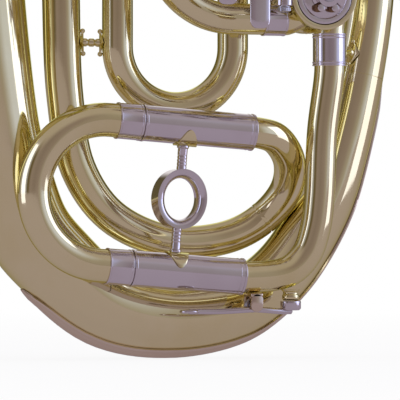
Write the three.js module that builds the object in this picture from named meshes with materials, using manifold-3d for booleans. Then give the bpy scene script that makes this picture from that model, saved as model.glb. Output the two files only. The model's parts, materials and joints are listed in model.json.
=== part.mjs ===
// Tenor horn: an upright oval horn with three rotary valves, in millimetres.
// +Z is up, the front (valve side) faces -Y, and the foot of the bow guard is at the origin.
import * as THREE from 'three';
import { mergeVertices } from 'three/addons/utils/BufferGeometryUtils.js';
import Module from 'manifold-3d';

const wasm = await Module();
wasm.setup();

// Oval body and its conical bore
const ovalWidth = 200;
const ovalHeight = 412;
const frontOffset = 31;
const tubeRadius = 7.4;
const bowRadius = 18.1;
const bellRimRadius = 120;
const tubeWall = 0.75;
const bowWall = 0.9;
const seatGap = 0.3;
const beadHeight = 1.6;
const beadLength = 3.2;
const guardThickness = 0.9;
const guardGap = 0.5;
const guardFlatDepth = 0.45;

// Main tuning slide
const slideLegSpacing = 68.8;
const slideTilt = THREE.MathUtils.degToRad(4.4);
const sleeveLength = 55.7;
const sleeveRightShare = 0.6;
const sleeveWall = 0.65;
const sleeveFit = 0.55;
const ferruleLength = 12;
const ferruleHeight = 0.9;
const slideBowRadius = 8;
const slideBowLead = 3.3;
const legInsertion = 46;
const tubeInsertion = 6;

// Ring brace of the main slide
const ringHeight = 28.4;
const ringWidth = 24.4;
const ringBand = 1.9;
const ringDepth = 10;
const ringRodRadius = 2.4;
const ringOffset = 1.4;
const saddleWidth = 7.8;
const saddleLength = 11;
const saddleThickness = 1.1;

// Rotary valves, one above the other
const valveCount = 3;
const valvePitch = 50;
const casingRadius = 15.5;
const casingWall = 1.6;
const casingLength = 30;
const casingRim = 0.9;
const casingRimLength = 2.6;
const plateThickness = 3;
const windwayOffset = 7.7;
const loopPortOffset = 11;
const knuckleReach = 19.5;
const passageWidth = 9.6;
const passageDepth = 13.4;
const spindleRadius = 3;
const capWall = 1.2;
const capSkirt = 7;
const capDome = 2.6;
const bossRadius = 5.2;
const bossHeight = 3;
const stopRadius = 1.9;
const stopCircle = 7.1;
const stopSpread = THREE.MathUtils.degToRad(30);
const rotorSwing = THREE.MathUtils.degToRad(90);
const stopArmRadius = 9.2;
const stopArmThickness = 2.6;
const stopHubRadius = 4.6;
const stemRadius = 2.4;
const screwRadius = 3.5;
const screwHeight = 1.7;
const rodArm = 6;
const studRadius = 1.1;
const studBallRadius = 1.7;
const studReach = 16;

// Finger levers, their axle and rail
const axleOffset = 22.5;
const axleStand = 21;
const axleRadius = 2;
const hubWall = 1.9;
const hubBelow = 6.5;
const hubAbove = 11.5;
const shortArm = 20;
const shortArmThickness = 2.4;
const pinRadius = 1.5;
const eyeWall = 1.6;
const eyeHeight = 3;
const clipHeight = 5;
const clipPlay = 0.8;
const clipWall = 1.1;
const rodRadius = 1.3;
const longArmWidth = 4.6;
const longArmThickness = 2.2;
const plateStand = 12;
const fingerPlateWidth = 9.8;
const fingerPlateLength = 25;
const fingerPlateThickness = 1.7;
const fingerPlateSpacing = 16;
const fingerPlateRise = 11;
const firstPlateOffset = 38.5;
const firstPlateDrop = 15;
const railWidth = 8;
const railThickness = 2;
const railGap = 6.4;
const lugThickness = 3;
const lugRadius = 4;
const axleKnobRadius = 3.4;
const axleKnobLength = 3;
const springWireRadius = 0.5;
const springRadius = 5.3;
const springTurns = 3.75;
const springRise = 2.95;
const springLegLength = 8;

// Valve loops and their slides
const loopBendRadius = 32;
const riserLead = 2.3;
const riserOffset = 12.1;
const rearLegClearance = 9.4;
const rearLoopDepth = 24;
const rearLoopInset = 13.6;
const rearLoopDrop = 63.7;
const loopStayRise = 1.6;
const slideLap = 1.5;
const loopSleeveLength = 18;
const firstSleeveLength = 34;
const secondSleeveLength = 14;
const firstSlideReach = 32;
const secondSlideReach = 5.6;
const thirdSlideReach = 3;
const braceRodRadius = 1.7;

// Leadpipe, receiver and mouthpiece
const leadpipeEndRadius = 5.2;
const receiverWall = 1.8;
const receiverLength = 40;
const shankInsertion = 24;
const mouthpieceLength = 76;
const mouthpieceRimRadius = 18.8;
const shankRadius = 4.9;
const throatRadius = 2.1;

// Water key
const nippleRadius = 4.2;
const nippleLength = 5;
const nippleTipShare = 0.72;
const nippleBore = 1.6;
const keyCupRadius = 5;
const keyCupHeight = 4.4;
const keyCupWall = 0.7;
const keyPivotRadius = 1.2;
const keyTubeRadius = 2.3;
const keyTubeLength = 8.4;
const keyPivotDrop = 13.4;
const keyPivotLead = 5.55;
const keyArmDrop = 1.84;
const keyTouchDrop = 2.76;
const keyEarWidth = 6;
const keyEarThickness = 1.5;
const keyArmWidth = 3.4;
const keyArmThickness = 1.8;
const keyTouchRadius = 4.6;
const keyTouchReach = 32;
const keySpringRadius = 3.1;
const keySpringWire = 0.35;
const keySpringTurns = 3;
const keySpringRise = 1.15;

// Stays and the thumb ring
const stayRadius = 2;
const flangeHeight = 12;
const flangeWidth = 8;
const flangeThickness = 1.1;
const flangeBallRadius = 1.2;
const thumbRingRadius = 11;
const thumbRingBand = 2.2;
const thumbStemLength = 4;
const exitFerruleLength = 15.4;
const exitFerruleWall = 0.6;
const exitStayDrop = 1.9;
const ferruleBead = 0.6;
const ferruleBeadLength = 1.6;

const overrun = 2;
const weld = 1e-4;
const bellSides = 18;
const bowSides = 14;
const valveSides = 16;
const fineSides = 12;
const tubeSides = 10;
const smallSides = 8;
const pinSides = 6;
const ballRows = 4;
const coilSteps = 8;
const wireSides = 5;
const bendStep = Math.PI / 8;
const smallBendStep = Math.PI / 6;

const up = new THREE.Vector3(0, 0, 1);
const front = new THREE.Vector3(0, -1, 0);
const back = new THREE.Vector3(0, 1, 0);
const right = new THREE.Vector3(1, 0, 0);
const left = new THREE.Vector3(-1, 0, 0);
const down = new THREE.Vector3(0, 0, -1);
const at = (x, y, z) => new THREE.Vector3(x, y, z);

// Heights and columns that several pieces share
const bowCentreHeight = bowRadius + guardGap + guardThickness - guardFlatDepth;
const slideCentreShares = [-0.0125, 0.1383];
const valveColumnShare = 0.3225;
const lowestValveShare = 0.373;
const sleeveOuter = tubeRadius + sleeveFit + sleeveWall;
const sleeveInner = tubeRadius + sleeveFit;
const ovalAt = (x, depth, z) => at(x * ovalWidth, depth * frontOffset, bowCentreHeight + z * ovalHeight);
const valveColumn = valveColumnShare * ovalWidth;
const valveHeight = (number) =>
  bowCentreHeight + lowestValveShare * ovalHeight + (valveCount - number) * valvePitch;

// Finishes
const brass = () => new THREE.MeshStandardMaterial({ color: 0xd8bd6c, roughness: 0.16, metalness: 1 });
const nickel = () => new THREE.MeshStandardMaterial({ color: 0xc9bfc4, roughness: 0.2, metalness: 1 });
const steel = () => new THREE.MeshStandardMaterial({ color: 0xb9bcc0, roughness: 0.28, metalness: 1 });
const cork = () => new THREE.MeshStandardMaterial({ color: 0x9b7448, roughness: 0.85, metalness: 0 });

const horn = new THREE.Group();

/** Radius of a many-sided hole that clears a round piece all the way round. */
const clearing = (radius, sides) => (radius + seatGap) / Math.cos(Math.PI / sides);

/** Adds one named piece to a group of the horn. */
function add(group, name, geometry, finish) {
  const mesh = new THREE.Mesh(outward(geometry), finish());
  mesh.name = name;
  group.add(mesh);
  return mesh;
}

/** A group at a place in the horn, such as a valve's or the slide's own frame. */
function frameAt(position, turn = 0) {
  const group = new THREE.Group();
  group.position.copy(position);
  group.rotation.y = turn;
  horn.add(group);
  return group;
}

/** Welds a geometry's vertices and drops the triangles that collapse. */
function welded(geometry) {
  const bare = geometry.clone();
  bare.deleteAttribute('normal');
  bare.deleteAttribute('uv');
  const merged = mergeVertices(bare, weld);
  const index = merged.index.array;
  const kept = [];
  for (let i = 0; i < index.length; i += 3) {
    const [a, b, c] = [index[i], index[i + 1], index[i + 2]];
    if (a !== b && b !== c && c !== a) kept.push(a, b, c);
  }
  merged.setIndex(kept);
  return merged;
}

/** Turns a closed mesh the right way out. */
function outward(geometry) {
  const mesh = welded(geometry);
  const place = mesh.attributes.position;
  const index = mesh.index.array;
  const corner = (i) => new THREE.Vector3().fromBufferAttribute(place, index[i]);
  let volume = 0;
  for (let i = 0; i < index.length; i += 3) {
    volume += corner(i).dot(corner(i + 1).cross(corner(i + 2)));
  }
  if (volume < 0) {
    const flipped = Array.from(index);
    for (let i = 0; i < flipped.length; i += 3) {
      [flipped[i], flipped[i + 1]] = [flipped[i + 1], flipped[i]];
    }
    mesh.setIndex(flipped);
  }
  mesh.computeVertexNormals();
  return mesh;
}

/** A mesh as a solid that can be joined and cut. */
function solid(geometry) {
  const mesh = outward(geometry);
  return new wasm.Manifold(new wasm.Mesh({
    numProp: 3,
    vertProperties: new Float32Array(mesh.attributes.position.array),
    triVerts: new Uint32Array(mesh.index.array),
  }));
}

function shape(body) {
  const mesh = body.getMesh();
  const geometry = new THREE.BufferGeometry();
  geometry.setAttribute('position', new THREE.Float32BufferAttribute(mesh.vertProperties, 3));
  geometry.setIndex(Array.from(mesh.triVerts));
  return geometry;
}

const join = (...geometries) => shape(geometries.map(solid).reduce((whole, next) => whole.add(next)));
const cut = (geometry, ...tools) =>
  shape(tools.map(solid).reduce((whole, tool) => whole.subtract(tool), solid(geometry)));

/** Points a geometry that was made along +Y in another direction, and moves it to its origin. */
function aimed(geometry, origin, axis) {
  geometry.applyQuaternion(new THREE.Quaternion().setFromUnitVectors(back, axis));
  return geometry.translate(origin.x, origin.y, origin.z);
}

/** A turned piece: the profile gives radius and distance along the axis, and closes on itself. */
function turned(profile, origin, axis, sides = fineSides) {
  const points = profile.map(([radius, along]) => new THREE.Vector2(radius, along));
  return aimed(new THREE.LatheGeometry(points, sides), origin, axis);
}

function band(inner, outer, length, origin, axis, sides = fineSides) {
  const profile = [[inner, 0], [outer, 0], [outer, length], [inner, length], [inner, 0]];
  return turned(profile, origin, axis, sides);
}

function disc(radius, length, origin, axis, sides = fineSides) {
  return turned([[0, 0], [radius, 0], [radius, length], [0, length]], origin, axis, sides);
}

function rodBetween(start, end, radius, sides = smallSides) {
  const axis = end.clone().sub(start);
  return disc(radius, axis.length(), start, axis.normalize(), sides);
}

function ball(centre, radius) {
  return new THREE.SphereGeometry(radius, pinSides, ballRows).translate(centre.x, centre.y, centre.z);
}

/** A flat piece cut from an outline in X and Z, from y backwards to y minus its thickness. */
function plateFacingFront(outline, thickness, y, curveSegments = 4) {
  const settings = { depth: thickness, bevelEnabled: false, curveSegments };
  const geometry = new THREE.ExtrudeGeometry(outline, settings);
  return geometry.rotateX(Math.PI / 2).translate(0, y, 0);
}

/** A flat piece cut from an outline in X and Y, standing on z. */
function plateFacingUp(outline, thickness, z) {
  const geometry = new THREE.ExtrudeGeometry(outline, { depth: thickness, bevelEnabled: false });
  return geometry.translate(0, 0, z);
}

/** The outline of a link: two round ends joined by straight sides. */
function linkOutline(start, startRadius, end, endRadius, steps = 4) {
  const heading = Math.atan2(end.y - start.y, end.x - start.x);
  const outline = [];
  for (let i = 0; i <= steps; i++) {
    const angle = heading + Math.PI / 2 + (Math.PI * i) / steps;
    outline.push(new THREE.Vector2(
      start.x + startRadius * Math.cos(angle), start.y + startRadius * Math.sin(angle)));
  }
  for (let i = 0; i <= steps; i++) {
    const angle = heading - Math.PI / 2 + (Math.PI * i) / steps;
    outline.push(new THREE.Vector2(
      end.x + endRadius * Math.cos(angle), end.y + endRadius * Math.sin(angle)));
  }
  return new THREE.Shape(outline);
}

// A route is a list of stations, each a point with its direction

/** Straight runs joined by round bends of the given radii. */
function bentRoute(corners, radii, step = smallBendStep) {
  const heading = (i) => corners[i + 1].clone().sub(corners[i]).normalize();
  const route = [{ point: corners[0].clone(), tangent: heading(0) }];
  for (let i = 1; i < corners.length - 1; i++) {
    const before = heading(i - 1);
    const after = heading(i);
    const radius = radii[i - 1];
    const turn = before.angleTo(after);
    const axis = before.clone().cross(after).normalize();
    const start = corners[i].clone().addScaledVector(before, -radius * Math.tan(turn / 2));
    const centre = start.clone().addScaledVector(axis.clone().cross(before), radius);
    const steps = Math.ceil(turn / step - weld);
    for (let s = 0; s <= steps; s++) {
      const swing = (turn * s) / steps;
      const point = start.clone().sub(centre).applyAxisAngle(axis, swing).add(centre);
      const tangent = before.clone().applyAxisAngle(axis, swing);
      if (point.distanceTo(route.at(-1).point) > seatGap) route.push({ point, tangent });
    }
  }
  const end = corners.at(-1).clone();
  if (end.distanceTo(route.at(-1).point) > seatGap) {
    route.push({ point: end, tangent: heading(corners.length - 2) });
  }
  return route;
}

/** A smooth curve through points, with the given number of steps from each point to the next. */
function smoothRoute(points, stepsPerSpan = 1) {
  const curve = new THREE.CatmullRomCurve3(points);
  const steps = (points.length - 1) * stepsPerSpan;
  const route = [];
  for (let i = 0; i <= steps; i++) {
    route.push({ point: curve.getPoint(i / steps), tangent: curve.getTangent(i / steps) });
  }
  return route;
}

const moved = (station, distance) => ({
  ...station,
  point: station.point.clone().addScaledVector(station.tangent, distance),
});

/** Moves both ends of a route inwards, so that two pieces which meet there keep a gap. */
function shortened(route, distance) {
  const trimmed = route.slice();
  trimmed[0] = moved(route[0], distance);
  trimmed[trimmed.length - 1] = moved(route.at(-1), -distance);
  return trimmed;
}

/** Gives every station a side direction that doesn't twist along the route. */
function withSides(route) {
  const first = route[0].tangent;
  const guide = Math.abs(first.dot(front)) > 0.9 ? up : front;
  let side = guide.clone().addScaledVector(first, -guide.dot(first)).normalize();
  return route.map((station, i) => {
    if (i > 0) {
      const twist = new THREE.Quaternion().setFromUnitVectors(route[i - 1].tangent, station.tangent);
      side = side.clone().applyQuaternion(twist);
    }
    return { ...station, side, across: station.tangent.clone().cross(side) };
  });
}

/** A ring of points round a station, at a radius along its side and another across it. */
function ringAt(station, sideRadius, acrossRadius, sides) {
  const ring = [];
  for (let i = 0; i < sides; i++) {
    const angle = (2 * Math.PI * i) / sides;
    ring.push(station.point.clone()
      .addScaledVector(station.side, sideRadius * Math.cos(angle))
      .addScaledVector(station.across, acrossRadius * Math.sin(angle)));
  }
  return ring;
}

/** Skins a list of rings. A closed list runs back into its first ring, an open one is capped. */
function loft(rings, closed) {
  const sides = rings[0].length;
  const points = rings.flat();
  const index = [];
  const last = closed ? rings.length : rings.length - 1;
  for (let r = 0; r < last; r++) {
    const here = r * sides;
    const next = ((r + 1) % rings.length) * sides;
    for (let i = 0; i < sides; i++) {
      const j = (i + 1) % sides;
      index.push(here + i, here + j, next + j, here + i, next + j, next + i);
    }
  }
  if (!closed) {
    const end = (rings.length - 1) * sides;
    for (let i = 1; i < sides - 1; i++) {
      index.push(0, i + 1, i, end, end + i, end + i + 1);
    }
  }
  const geometry = new THREE.BufferGeometry();
  const places = points.flatMap((point) => point.toArray());
  geometry.setAttribute('position', new THREE.Float32BufferAttribute(places, 3));
  geometry.setIndex(index);
  return geometry;
}

/** Radius at each station, even along the length, from one radius to another. */
function taper(route, startRadius, endRadius = startRadius) {
  const lengths = [0];
  for (let i = 1; i < route.length; i++) {
    lengths.push(lengths[i - 1] + route[i].point.distanceTo(route[i - 1].point));
  }
  return route.map((station, i) => ({
    ...station,
    radius: THREE.MathUtils.lerp(startRadius, endRadius, lengths[i] / lengths.at(-1)),
  }));
}

/** A tube that may widen along its route. A collar is a raised band at one of its ends. */
function tube(route, wall, { sides = tubeSides, startCollar = null, endCollar = null } = {}) {
  const stations = withSides(route);
  const ring = (station, extra) => ringAt(station, station.radius + extra, station.radius + extra, sides);
  const outer = stations.map((station) => ring(station, 0));
  if (startCollar) {
    const edge = moved(stations[0], startCollar.length);
    outer.splice(0, 1, ring(stations[0], startCollar.height), ring(edge, startCollar.height), ring(edge, 0));
  }
  if (endCollar) {
    const edge = moved(stations.at(-1), -endCollar.length);
    const end = stations.at(-1);
    outer.splice(-1, 1, ring(edge, 0), ring(edge, endCollar.height), ring(end, endCollar.height));
  }
  const inner = stations.filter((station) => !station.outside).map((station) => ring(station, -wall));
  return loft([...outer, ...inner.reverse()], true);
}

/** A solid bar of oval section along a route: its depth lies front to back, its height across. */
function bar(route, depth, height, sides = smallSides) {
  return loft(withSides(route).map((s) => ringAt(s, depth / 2, height / 2, sides)), false);
}

// Conical bore, from the bell rim to the main slide. Each row holds shares of the oval's width,
// of the front offset and of the oval's height, then the growth from tube to bow radius
const bellShares = [
  [-0.535, 0, 1.5066, 1], [-0.535, 0, 1.492, 0.9583], [-0.535, 0, 1.4629, 0.854],
  [-0.535, 0, 1.4216, 0.7237], [-0.535, 0, 1.3731, 0.5933], [-0.535, 0, 1.3124, 0.4682],
  [-0.535, 0, 1.2396, 0.3587], [-0.535, 0, 1.1546, 0.2701], [-0.535, 0, 1.0454, 0.195],
  [-0.533, 0, 0.88, 0.12], [-0.5245, 0, 0.72, 0.067], [-0.507, 0, 0.56, 0.028],
];
const bottomBowShares = [
  [-0.486, 0, 0.4386, 1.561], [-0.471, 0, 0.3706, 1.458], [-0.426, 0, 0.2201, 1.299],
  [-0.3925, 0, 0.1619, 1.271], [-0.345, 0, 0.1036, 1.252], [-0.278, 0, 0.0658, 1.215],
  [-0.1525, 0, 0.0163, 1.14], [0, 0, 0, 1], [0.156, 0, 0.01, 0.897], [0.236, 0, 0.0303, 0.804],
  [0.313, 0, 0.0655, 0.71], [0.3975, 0, 0.1318, 0.645], [0.446, 0, 0.1993, 0.57],
  [0.4915, 0, 0.2857, 0.449],
];
const rightBranchShares = [
  [0.521, 0, 0.3706, 0.374], [0.535, 0, 0.4871, 0.327], [0.5375, 0, 0.6085, 0.299],
];
const topBowShares = [
  [0.52, 0, 0.7299, 0.28], [0.47, 0, 0.8391, 0.262], [0.37, 0, 0.9289, 0.252],
  [0.26, 0, 0.9823, 0.243], [0.14, 0, 1, 0.234], [0, 0, 0.9823, 0.224], [-0.12, 0, 0.9289, 0.215],
  [-0.2, 0, 0.8512, 0.196], [-0.245, 0, 0.7541, 0.187], [-0.2575, 0, 0.657, 0.178],
];
const innerBranchShares = [
  [-0.2625, 0, 0.5114, 0.168], [-0.2625, 0, 0.3706, 0.159], [-0.252, 0, 0.2541, 0.136],
  [-0.22, 0, 0.174, 0.112], [-0.139, 0, 0.1197, 0.089], [0, 0, 0.09, 0.065], [0.149, 0, 0.0939, 0.056],
];
const crookShares = [
  [0.24, -0.0484, 0.1158, 0.051], [0.2875, -0.2903, 0.1488, 0.047], [0.2825, -0.5806, 0.1813, 0.037],
  [0.2325, -0.8871, 0.208, 0.028],
];
const exitShares = [
  [0.361, -1, 0.285], [0.343, -1, 0.2177], [0.3345, -1, 0.1376], [0.3245, -1, 0.1036],
  [0.302, -1, 0.0745], [0.2575, -1, 0.0551],
];
const leadpipeShares = [
  [0.361, -1, 0.7541], [0.33, -1.0645, 0.8391], [0.22, -1.2581, 0.9143], [0.04, -1.4839, 0.9532],
  [-0.2, -1.7097, 0.9823], [-0.4, -1.8387, 1.009], [-0.59, -1.7581, 1.0308], [-0.735, -1.1935, 1.0502],
  [-0.805, -0.129, 1.0672], [-0.765, 1, 1.0818], [-0.66, 1.9355, 1.0964],
];

// Main slide frame: u runs along the legs to the right, and the legs lie above and below its centre
const slideCentre = ovalAt(slideCentreShares[0], -1, slideCentreShares[1]);
const slide = frameAt(slideCentre, slideTilt);
const upperLeg = slideLegSpacing / 2;
const lowerLeg = -slideLegSpacing / 2;
const slidePoint = (u, height) => at(u, 0, height).applyAxisAngle(back, slideTilt).add(slideCentre);
const sleeveRight = sleeveLength * sleeveRightShare;
const sleeveLeft = sleeveRight - sleeveLength;

const growth = (share) => tubeRadius + share * (bowRadius - tubeRadius);
const bellThroat = growth(bottomBowShares[0][3]);
const flare = (share) => bellThroat + share * (bellRimRadius - bellThroat);
const bellCount = bellShares.length;
const boreShares = [
  ...bellShares, ...bottomBowShares, ...rightBranchShares, ...topBowShares, ...innerBranchShares,
  ...crookShares,
];
const borePoints = [
  ...boreShares.map(([x, depth, z]) => ovalAt(x, depth, z)),
  slidePoint(sleeveRight + tubeRadius / 2, upperLeg),
  slidePoint(sleeveRight - tubeInsertion, upperLeg),
];
const boreRadii = [
  ...boreShares.map((row, i) => (i < bellCount ? flare(row[3]) : growth(row[3]))),
  tubeRadius,
  tubeRadius,
];
const boreRoute = smoothRoute(borePoints).map((station, i) => ({ ...station, radius: boreRadii[i] }));

/** The pieces of the bore end at rows of its shares: from and to count rows from the bell rim. */
function borePiece(from, to) {
  return shortened(boreRoute.slice(from, to + 1), seatGap / 2);
}

const bowStart = bellCount;
const branchStart = bowStart + bottomBowShares.length - 1;
const topStart = branchStart + rightBranchShares.length;
const innerStart = topStart + topBowShares.length;
const crookStart = innerStart + innerBranchShares.length;

function buildBore() {
  const bellRoute = boreRoute.slice(0, bowStart + 1);
  bellRoute[bellRoute.length - 1] = moved(bellRoute.at(-1), -seatGap / 2);
  const bead = { length: beadLength, height: beadHeight };
  add(horn, 'bell', tube(bellRoute, bowWall, { sides: bellSides, startCollar: bead }), brass);
  const bowRoute = borePiece(bowStart, branchStart);
  add(horn, 'bottom_bow', tube(bowRoute, bowWall, { sides: bowSides }), brass);
  add(horn, 'right_branch', tube(borePiece(branchStart, topStart), tubeWall, { sides: fineSides }), brass);
  add(horn, 'top_bow', tube(borePiece(topStart, innerStart), tubeWall), brass);
  add(horn, 'inner_branch', tube(borePiece(innerStart, crookStart), tubeWall), brass);
  const crookRoute = boreRoute.slice(crookStart);
  crookRoute[0] = moved(crookRoute[0], seatGap / 2);
  add(horn, 'return_crook', tube(crookRoute, tubeWall), brass);
  return withSides(bowRoute);
}

// Bow guard: a nickel strip on the outside of the bottom bow, pointed at both ends and flat below
const guardShares = [0.1, 0.5, 0.85, 1, 1, 0.9, 0.7, 0.55, 0.45, 0.12];
const guardHalfAngle = THREE.MathUtils.degToRad(37);
const guardFirstRow = 4;
const guardSteps = 6;

function buildGuard(bowStations) {
  const rings = guardShares.map((share, row) => {
    const station = bowStations[guardFirstRow + row];
    const outside = station.tangent.clone().cross(front).normalize();
    if (outside.dot(station.point.clone().sub(ovalAt(0, 0, 0.5))) < 0) outside.negate();
    const half = share * guardHalfAngle;
    const inner = (station.radius + guardGap) / Math.cos(half / guardSteps);
    const ring = [];
    const place = (radius, step) => {
      const angle = -half + (2 * half * step) / guardSteps;
      ring.push(station.point.clone()
        .addScaledVector(outside, radius * Math.cos(angle))
        .addScaledVector(front, radius * Math.sin(angle)));
    };
    for (let step = 0; step <= guardSteps; step++) place(inner + guardThickness, step);
    for (let step = guardSteps; step >= 0; step--) place(inner, step);
    return ring;
  });
  const below = new THREE.BoxGeometry(ovalWidth, ovalWidth, bowRadius).translate(0, 0, -bowRadius / 2);
  add(horn, 'bow_guard', cut(loft(rings, false), below), nickel);
}

// Main slide: the sleeves stay, and the bow slides out to the left
function buildMainSlide() {
  const rim = { length: ferruleBeadLength, height: ferruleBead };
  const leg = (height) => taper(
    bentRoute([at(sleeveLeft, 0, height), at(sleeveRight, 0, height)], []), sleeveOuter);
  const rims = { sides: tubeSides, startCollar: rim, endCollar: rim };
  add(slide, 'main_sleeve_upper', tube(leg(upperLeg), sleeveWall, rims), nickel);
  add(slide, 'main_sleeve_lower', tube(leg(lowerLeg), sleeveWall, rims), nickel);

  const ferruleEnd = sleeveLeft - seatGap;
  const bowEnd = ferruleEnd - ferruleLength;
  const corner = bowEnd - slideBowLead - upperLeg;
  const innerEnd = ferruleEnd + legInsertion;
  const corners = [
    at(bowEnd, 0, upperLeg), at(corner, 0, upperLeg), at(corner, 0, lowerLeg), at(bowEnd, 0, lowerLeg),
  ];
  const bow = taper(bentRoute(corners, [upperLeg, upperLeg], bendStep), slideBowRadius);
  const legEnd = (height) => {
    const tangent = height > 0 ? left : right;
    const raised = slideBowRadius + ferruleHeight;
    return [
      { point: at(innerEnd, 0, height), tangent, radius: tubeRadius },
      { point: at(ferruleEnd, 0, height), tangent, radius: tubeRadius },
      { point: at(ferruleEnd, 0, height), tangent, radius: raised, outside: true },
      { point: at(bowEnd, 0, height), tangent, radius: raised, outside: true },
    ];
  };
  const wholeBow = [...legEnd(upperLeg), ...bow, ...legEnd(lowerLeg).reverse()];
  add(slide, 'main_slide_bow', tube(wholeBow, tubeWall), brass);
}

// Ring brace: an oval hoop on two rods, with a diamond saddle on each sleeve
function buildRingBrace() {
  const hoop = new THREE.Shape();
  hoop.absellipse(0, 0, ringWidth / 2, ringHeight / 2, 0, 2 * Math.PI);
  const opening = new THREE.Path();
  opening.absellipse(0, 0, ringWidth / 2 - ringBand, ringHeight / 2 - ringBand, 0, 2 * Math.PI);
  hoop.holes.push(opening);
  const ringShape = plateFacingFront(hoop, ringDepth, ringDepth / 2, 10).translate(ringOffset, 0, 0);
  const rodEnd = upperLeg - sleeveOuter - seatGap - saddleThickness / 2;
  const rodStart = (ringHeight - ringBand) / 2;
  const rods = [1, -1].map((way) => rodBetween(
    at(ringOffset, 0, way * rodStart), at(ringOffset, 0, way * rodEnd), ringRodRadius));
  const saddles = [1, -1].map((way) => {
    const inner = clearing(sleeveOuter, fineSides);
    const outer = inner + saddleThickness;
    const collar = band(inner, outer, 2 * saddleWidth,
      at(ringOffset - saddleWidth, 0, way * upperLeg), right, fineSides);
    const diamond = new THREE.Shape([
      new THREE.Vector2(-saddleWidth / 2, 0), new THREE.Vector2(0, -saddleLength / 2),
      new THREE.Vector2(saddleWidth / 2, 0), new THREE.Vector2(0, saddleLength / 2),
    ]);
    const cutter = new THREE.ExtrudeGeometry(diamond, { depth: outer, bevelEnabled: false })
      .translate(ringOffset, 0, way > 0 ? upperLeg - outer : lowerLeg);
    return shape(solid(collar).intersect(solid(cutter)));
  });
  add(slide, 'ring_brace', join(ringShape, ...rods, ...saddles), nickel);
}

// Rotary valves. In a valve's own frame the rotor turns about Y, and the front is -Y
const half = casingLength / 2;
const boreInCasing = casingRadius - casingWall;
const rotorRadius = boreInCasing - seatGap;
const rotorHalf = half - plateThickness - seatGap;

const windwayStartShares = [0.78, 0.75];
const loopPortShares = [0.75, 1.3];

/** The centreline of a windway knuckle, on the right side, above (way 1) or below (way -1). */
function windwayRoute(way) {
  const port = casingRadius * Math.SQRT1_2;
  const end = valvePitch / 2 - seatGap / 2;
  return smoothRoute([
    at(port * windwayStartShares[0], 0, way * port * windwayStartShares[1]),
    at(windwayOffset, 0, way * (port + end) / 2),
    at(windwayOffset, 0, way * end),
  ]);
}

/** The centreline of a loop knuckle, which leaves to the left. */
function loopRoute(way) {
  const port = casingRadius * Math.SQRT1_2;
  return smoothRoute([
    at(-port * loopPortShares[0], 0, way * port * loopPortShares[0]),
    at(-port * loopPortShares[1], 0, way * loopPortOffset),
    at(-knuckleReach, 0, way * loopPortOffset),
  ]);
}

function casingGeometry() {
  const knuckles = [windwayRoute(1), windwayRoute(-1), loopRoute(1), loopRoute(-1)];
  const outline = [
    [0, -half], [casingRadius + casingRim, -half], [casingRadius + casingRim, casingRimLength - half],
    [casingRadius, casingRimLength - half], [casingRadius, half], [0, half],
  ];
  const body = turned(outline, at(0, 0, 0), back, valveSides);
  const stubs = knuckles.map((route) => bar(route, 2 * tubeRadius, 2 * tubeRadius, smallSides));
  const bores = knuckles.map((route) => {
    const run = route.slice();
    run[run.length - 1] = moved(run.at(-1), overrun);
    const width = 2 * (tubeRadius - tubeWall);
    return bar(run, width, width, smallSides);
  });
  const rotorBore = disc(boreInCasing, casingLength - plateThickness + overrun,
    at(0, -half - overrun, 0), back, valveSides);
  const holeRadius = clearing(spindleRadius, smallSides);
  const spindleHole = disc(holeRadius, casingLength + overrun, at(0, -half, 0), back, smallSides);
  return cut(join(body, ...stubs), rotorBore, spindleHole, ...bores);
}

const passageShares = [[1.05, 1.05], [0.62, 0], [1.05, -1.05]];

function rotorGeometry() {
  const body = disc(rotorRadius, 2 * rotorHalf, at(0, -rotorHalf, 0), back, valveSides);
  const bossEnd = half + bossHeight;
  const armEnd = bossEnd + 2 * seatGap + stopArmThickness;
  const spindle = turned([
    [0, -armEnd - screwHeight], [screwRadius, -armEnd - screwHeight], [screwRadius, -armEnd],
    [stemRadius, -armEnd], [stemRadius, -bossEnd], [spindleRadius, -bossEnd],
    [spindleRadius, half - seatGap], [0, half - seatGap],
  ], at(0, 0, 0), back, smallSides);
  const port = casingRadius * Math.SQRT1_2;
  const passages = [1, -1].map((side) => {
    const run = smoothRoute(passageShares.map(([x, z]) => at(side * x * port, 0, z * port)));
    return bar(run, passageDepth, passageWidth, smallSides);
  });
  return join(cut(body, ...passages), spindle);
}

function bearingPlateGeometry() {
  const hole = clearing(spindleRadius, valveSides);
  const disk = turned([
    [hole, -half - bossHeight], [bossRadius, -half - bossHeight], [bossRadius, -half], [rotorRadius, -half],
    [rotorRadius, plateThickness - half], [hole, plateThickness - half], [hole, -half - bossHeight],
  ], at(0, 0, 0), back, valveSides);
  const stopX = stopCircle * Math.sin(stopSpread);
  const stopZ = -stopCircle * Math.cos(stopSpread);
  const posts = [1, -1].map((way) => rodBetween(
    at(way * stopX, plateThickness / 2 - half, stopZ),
    at(way * stopX, -half - bossHeight - stopArmThickness, stopZ), stopRadius, pinSides));
  return join(disk, ...posts);
}

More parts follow.
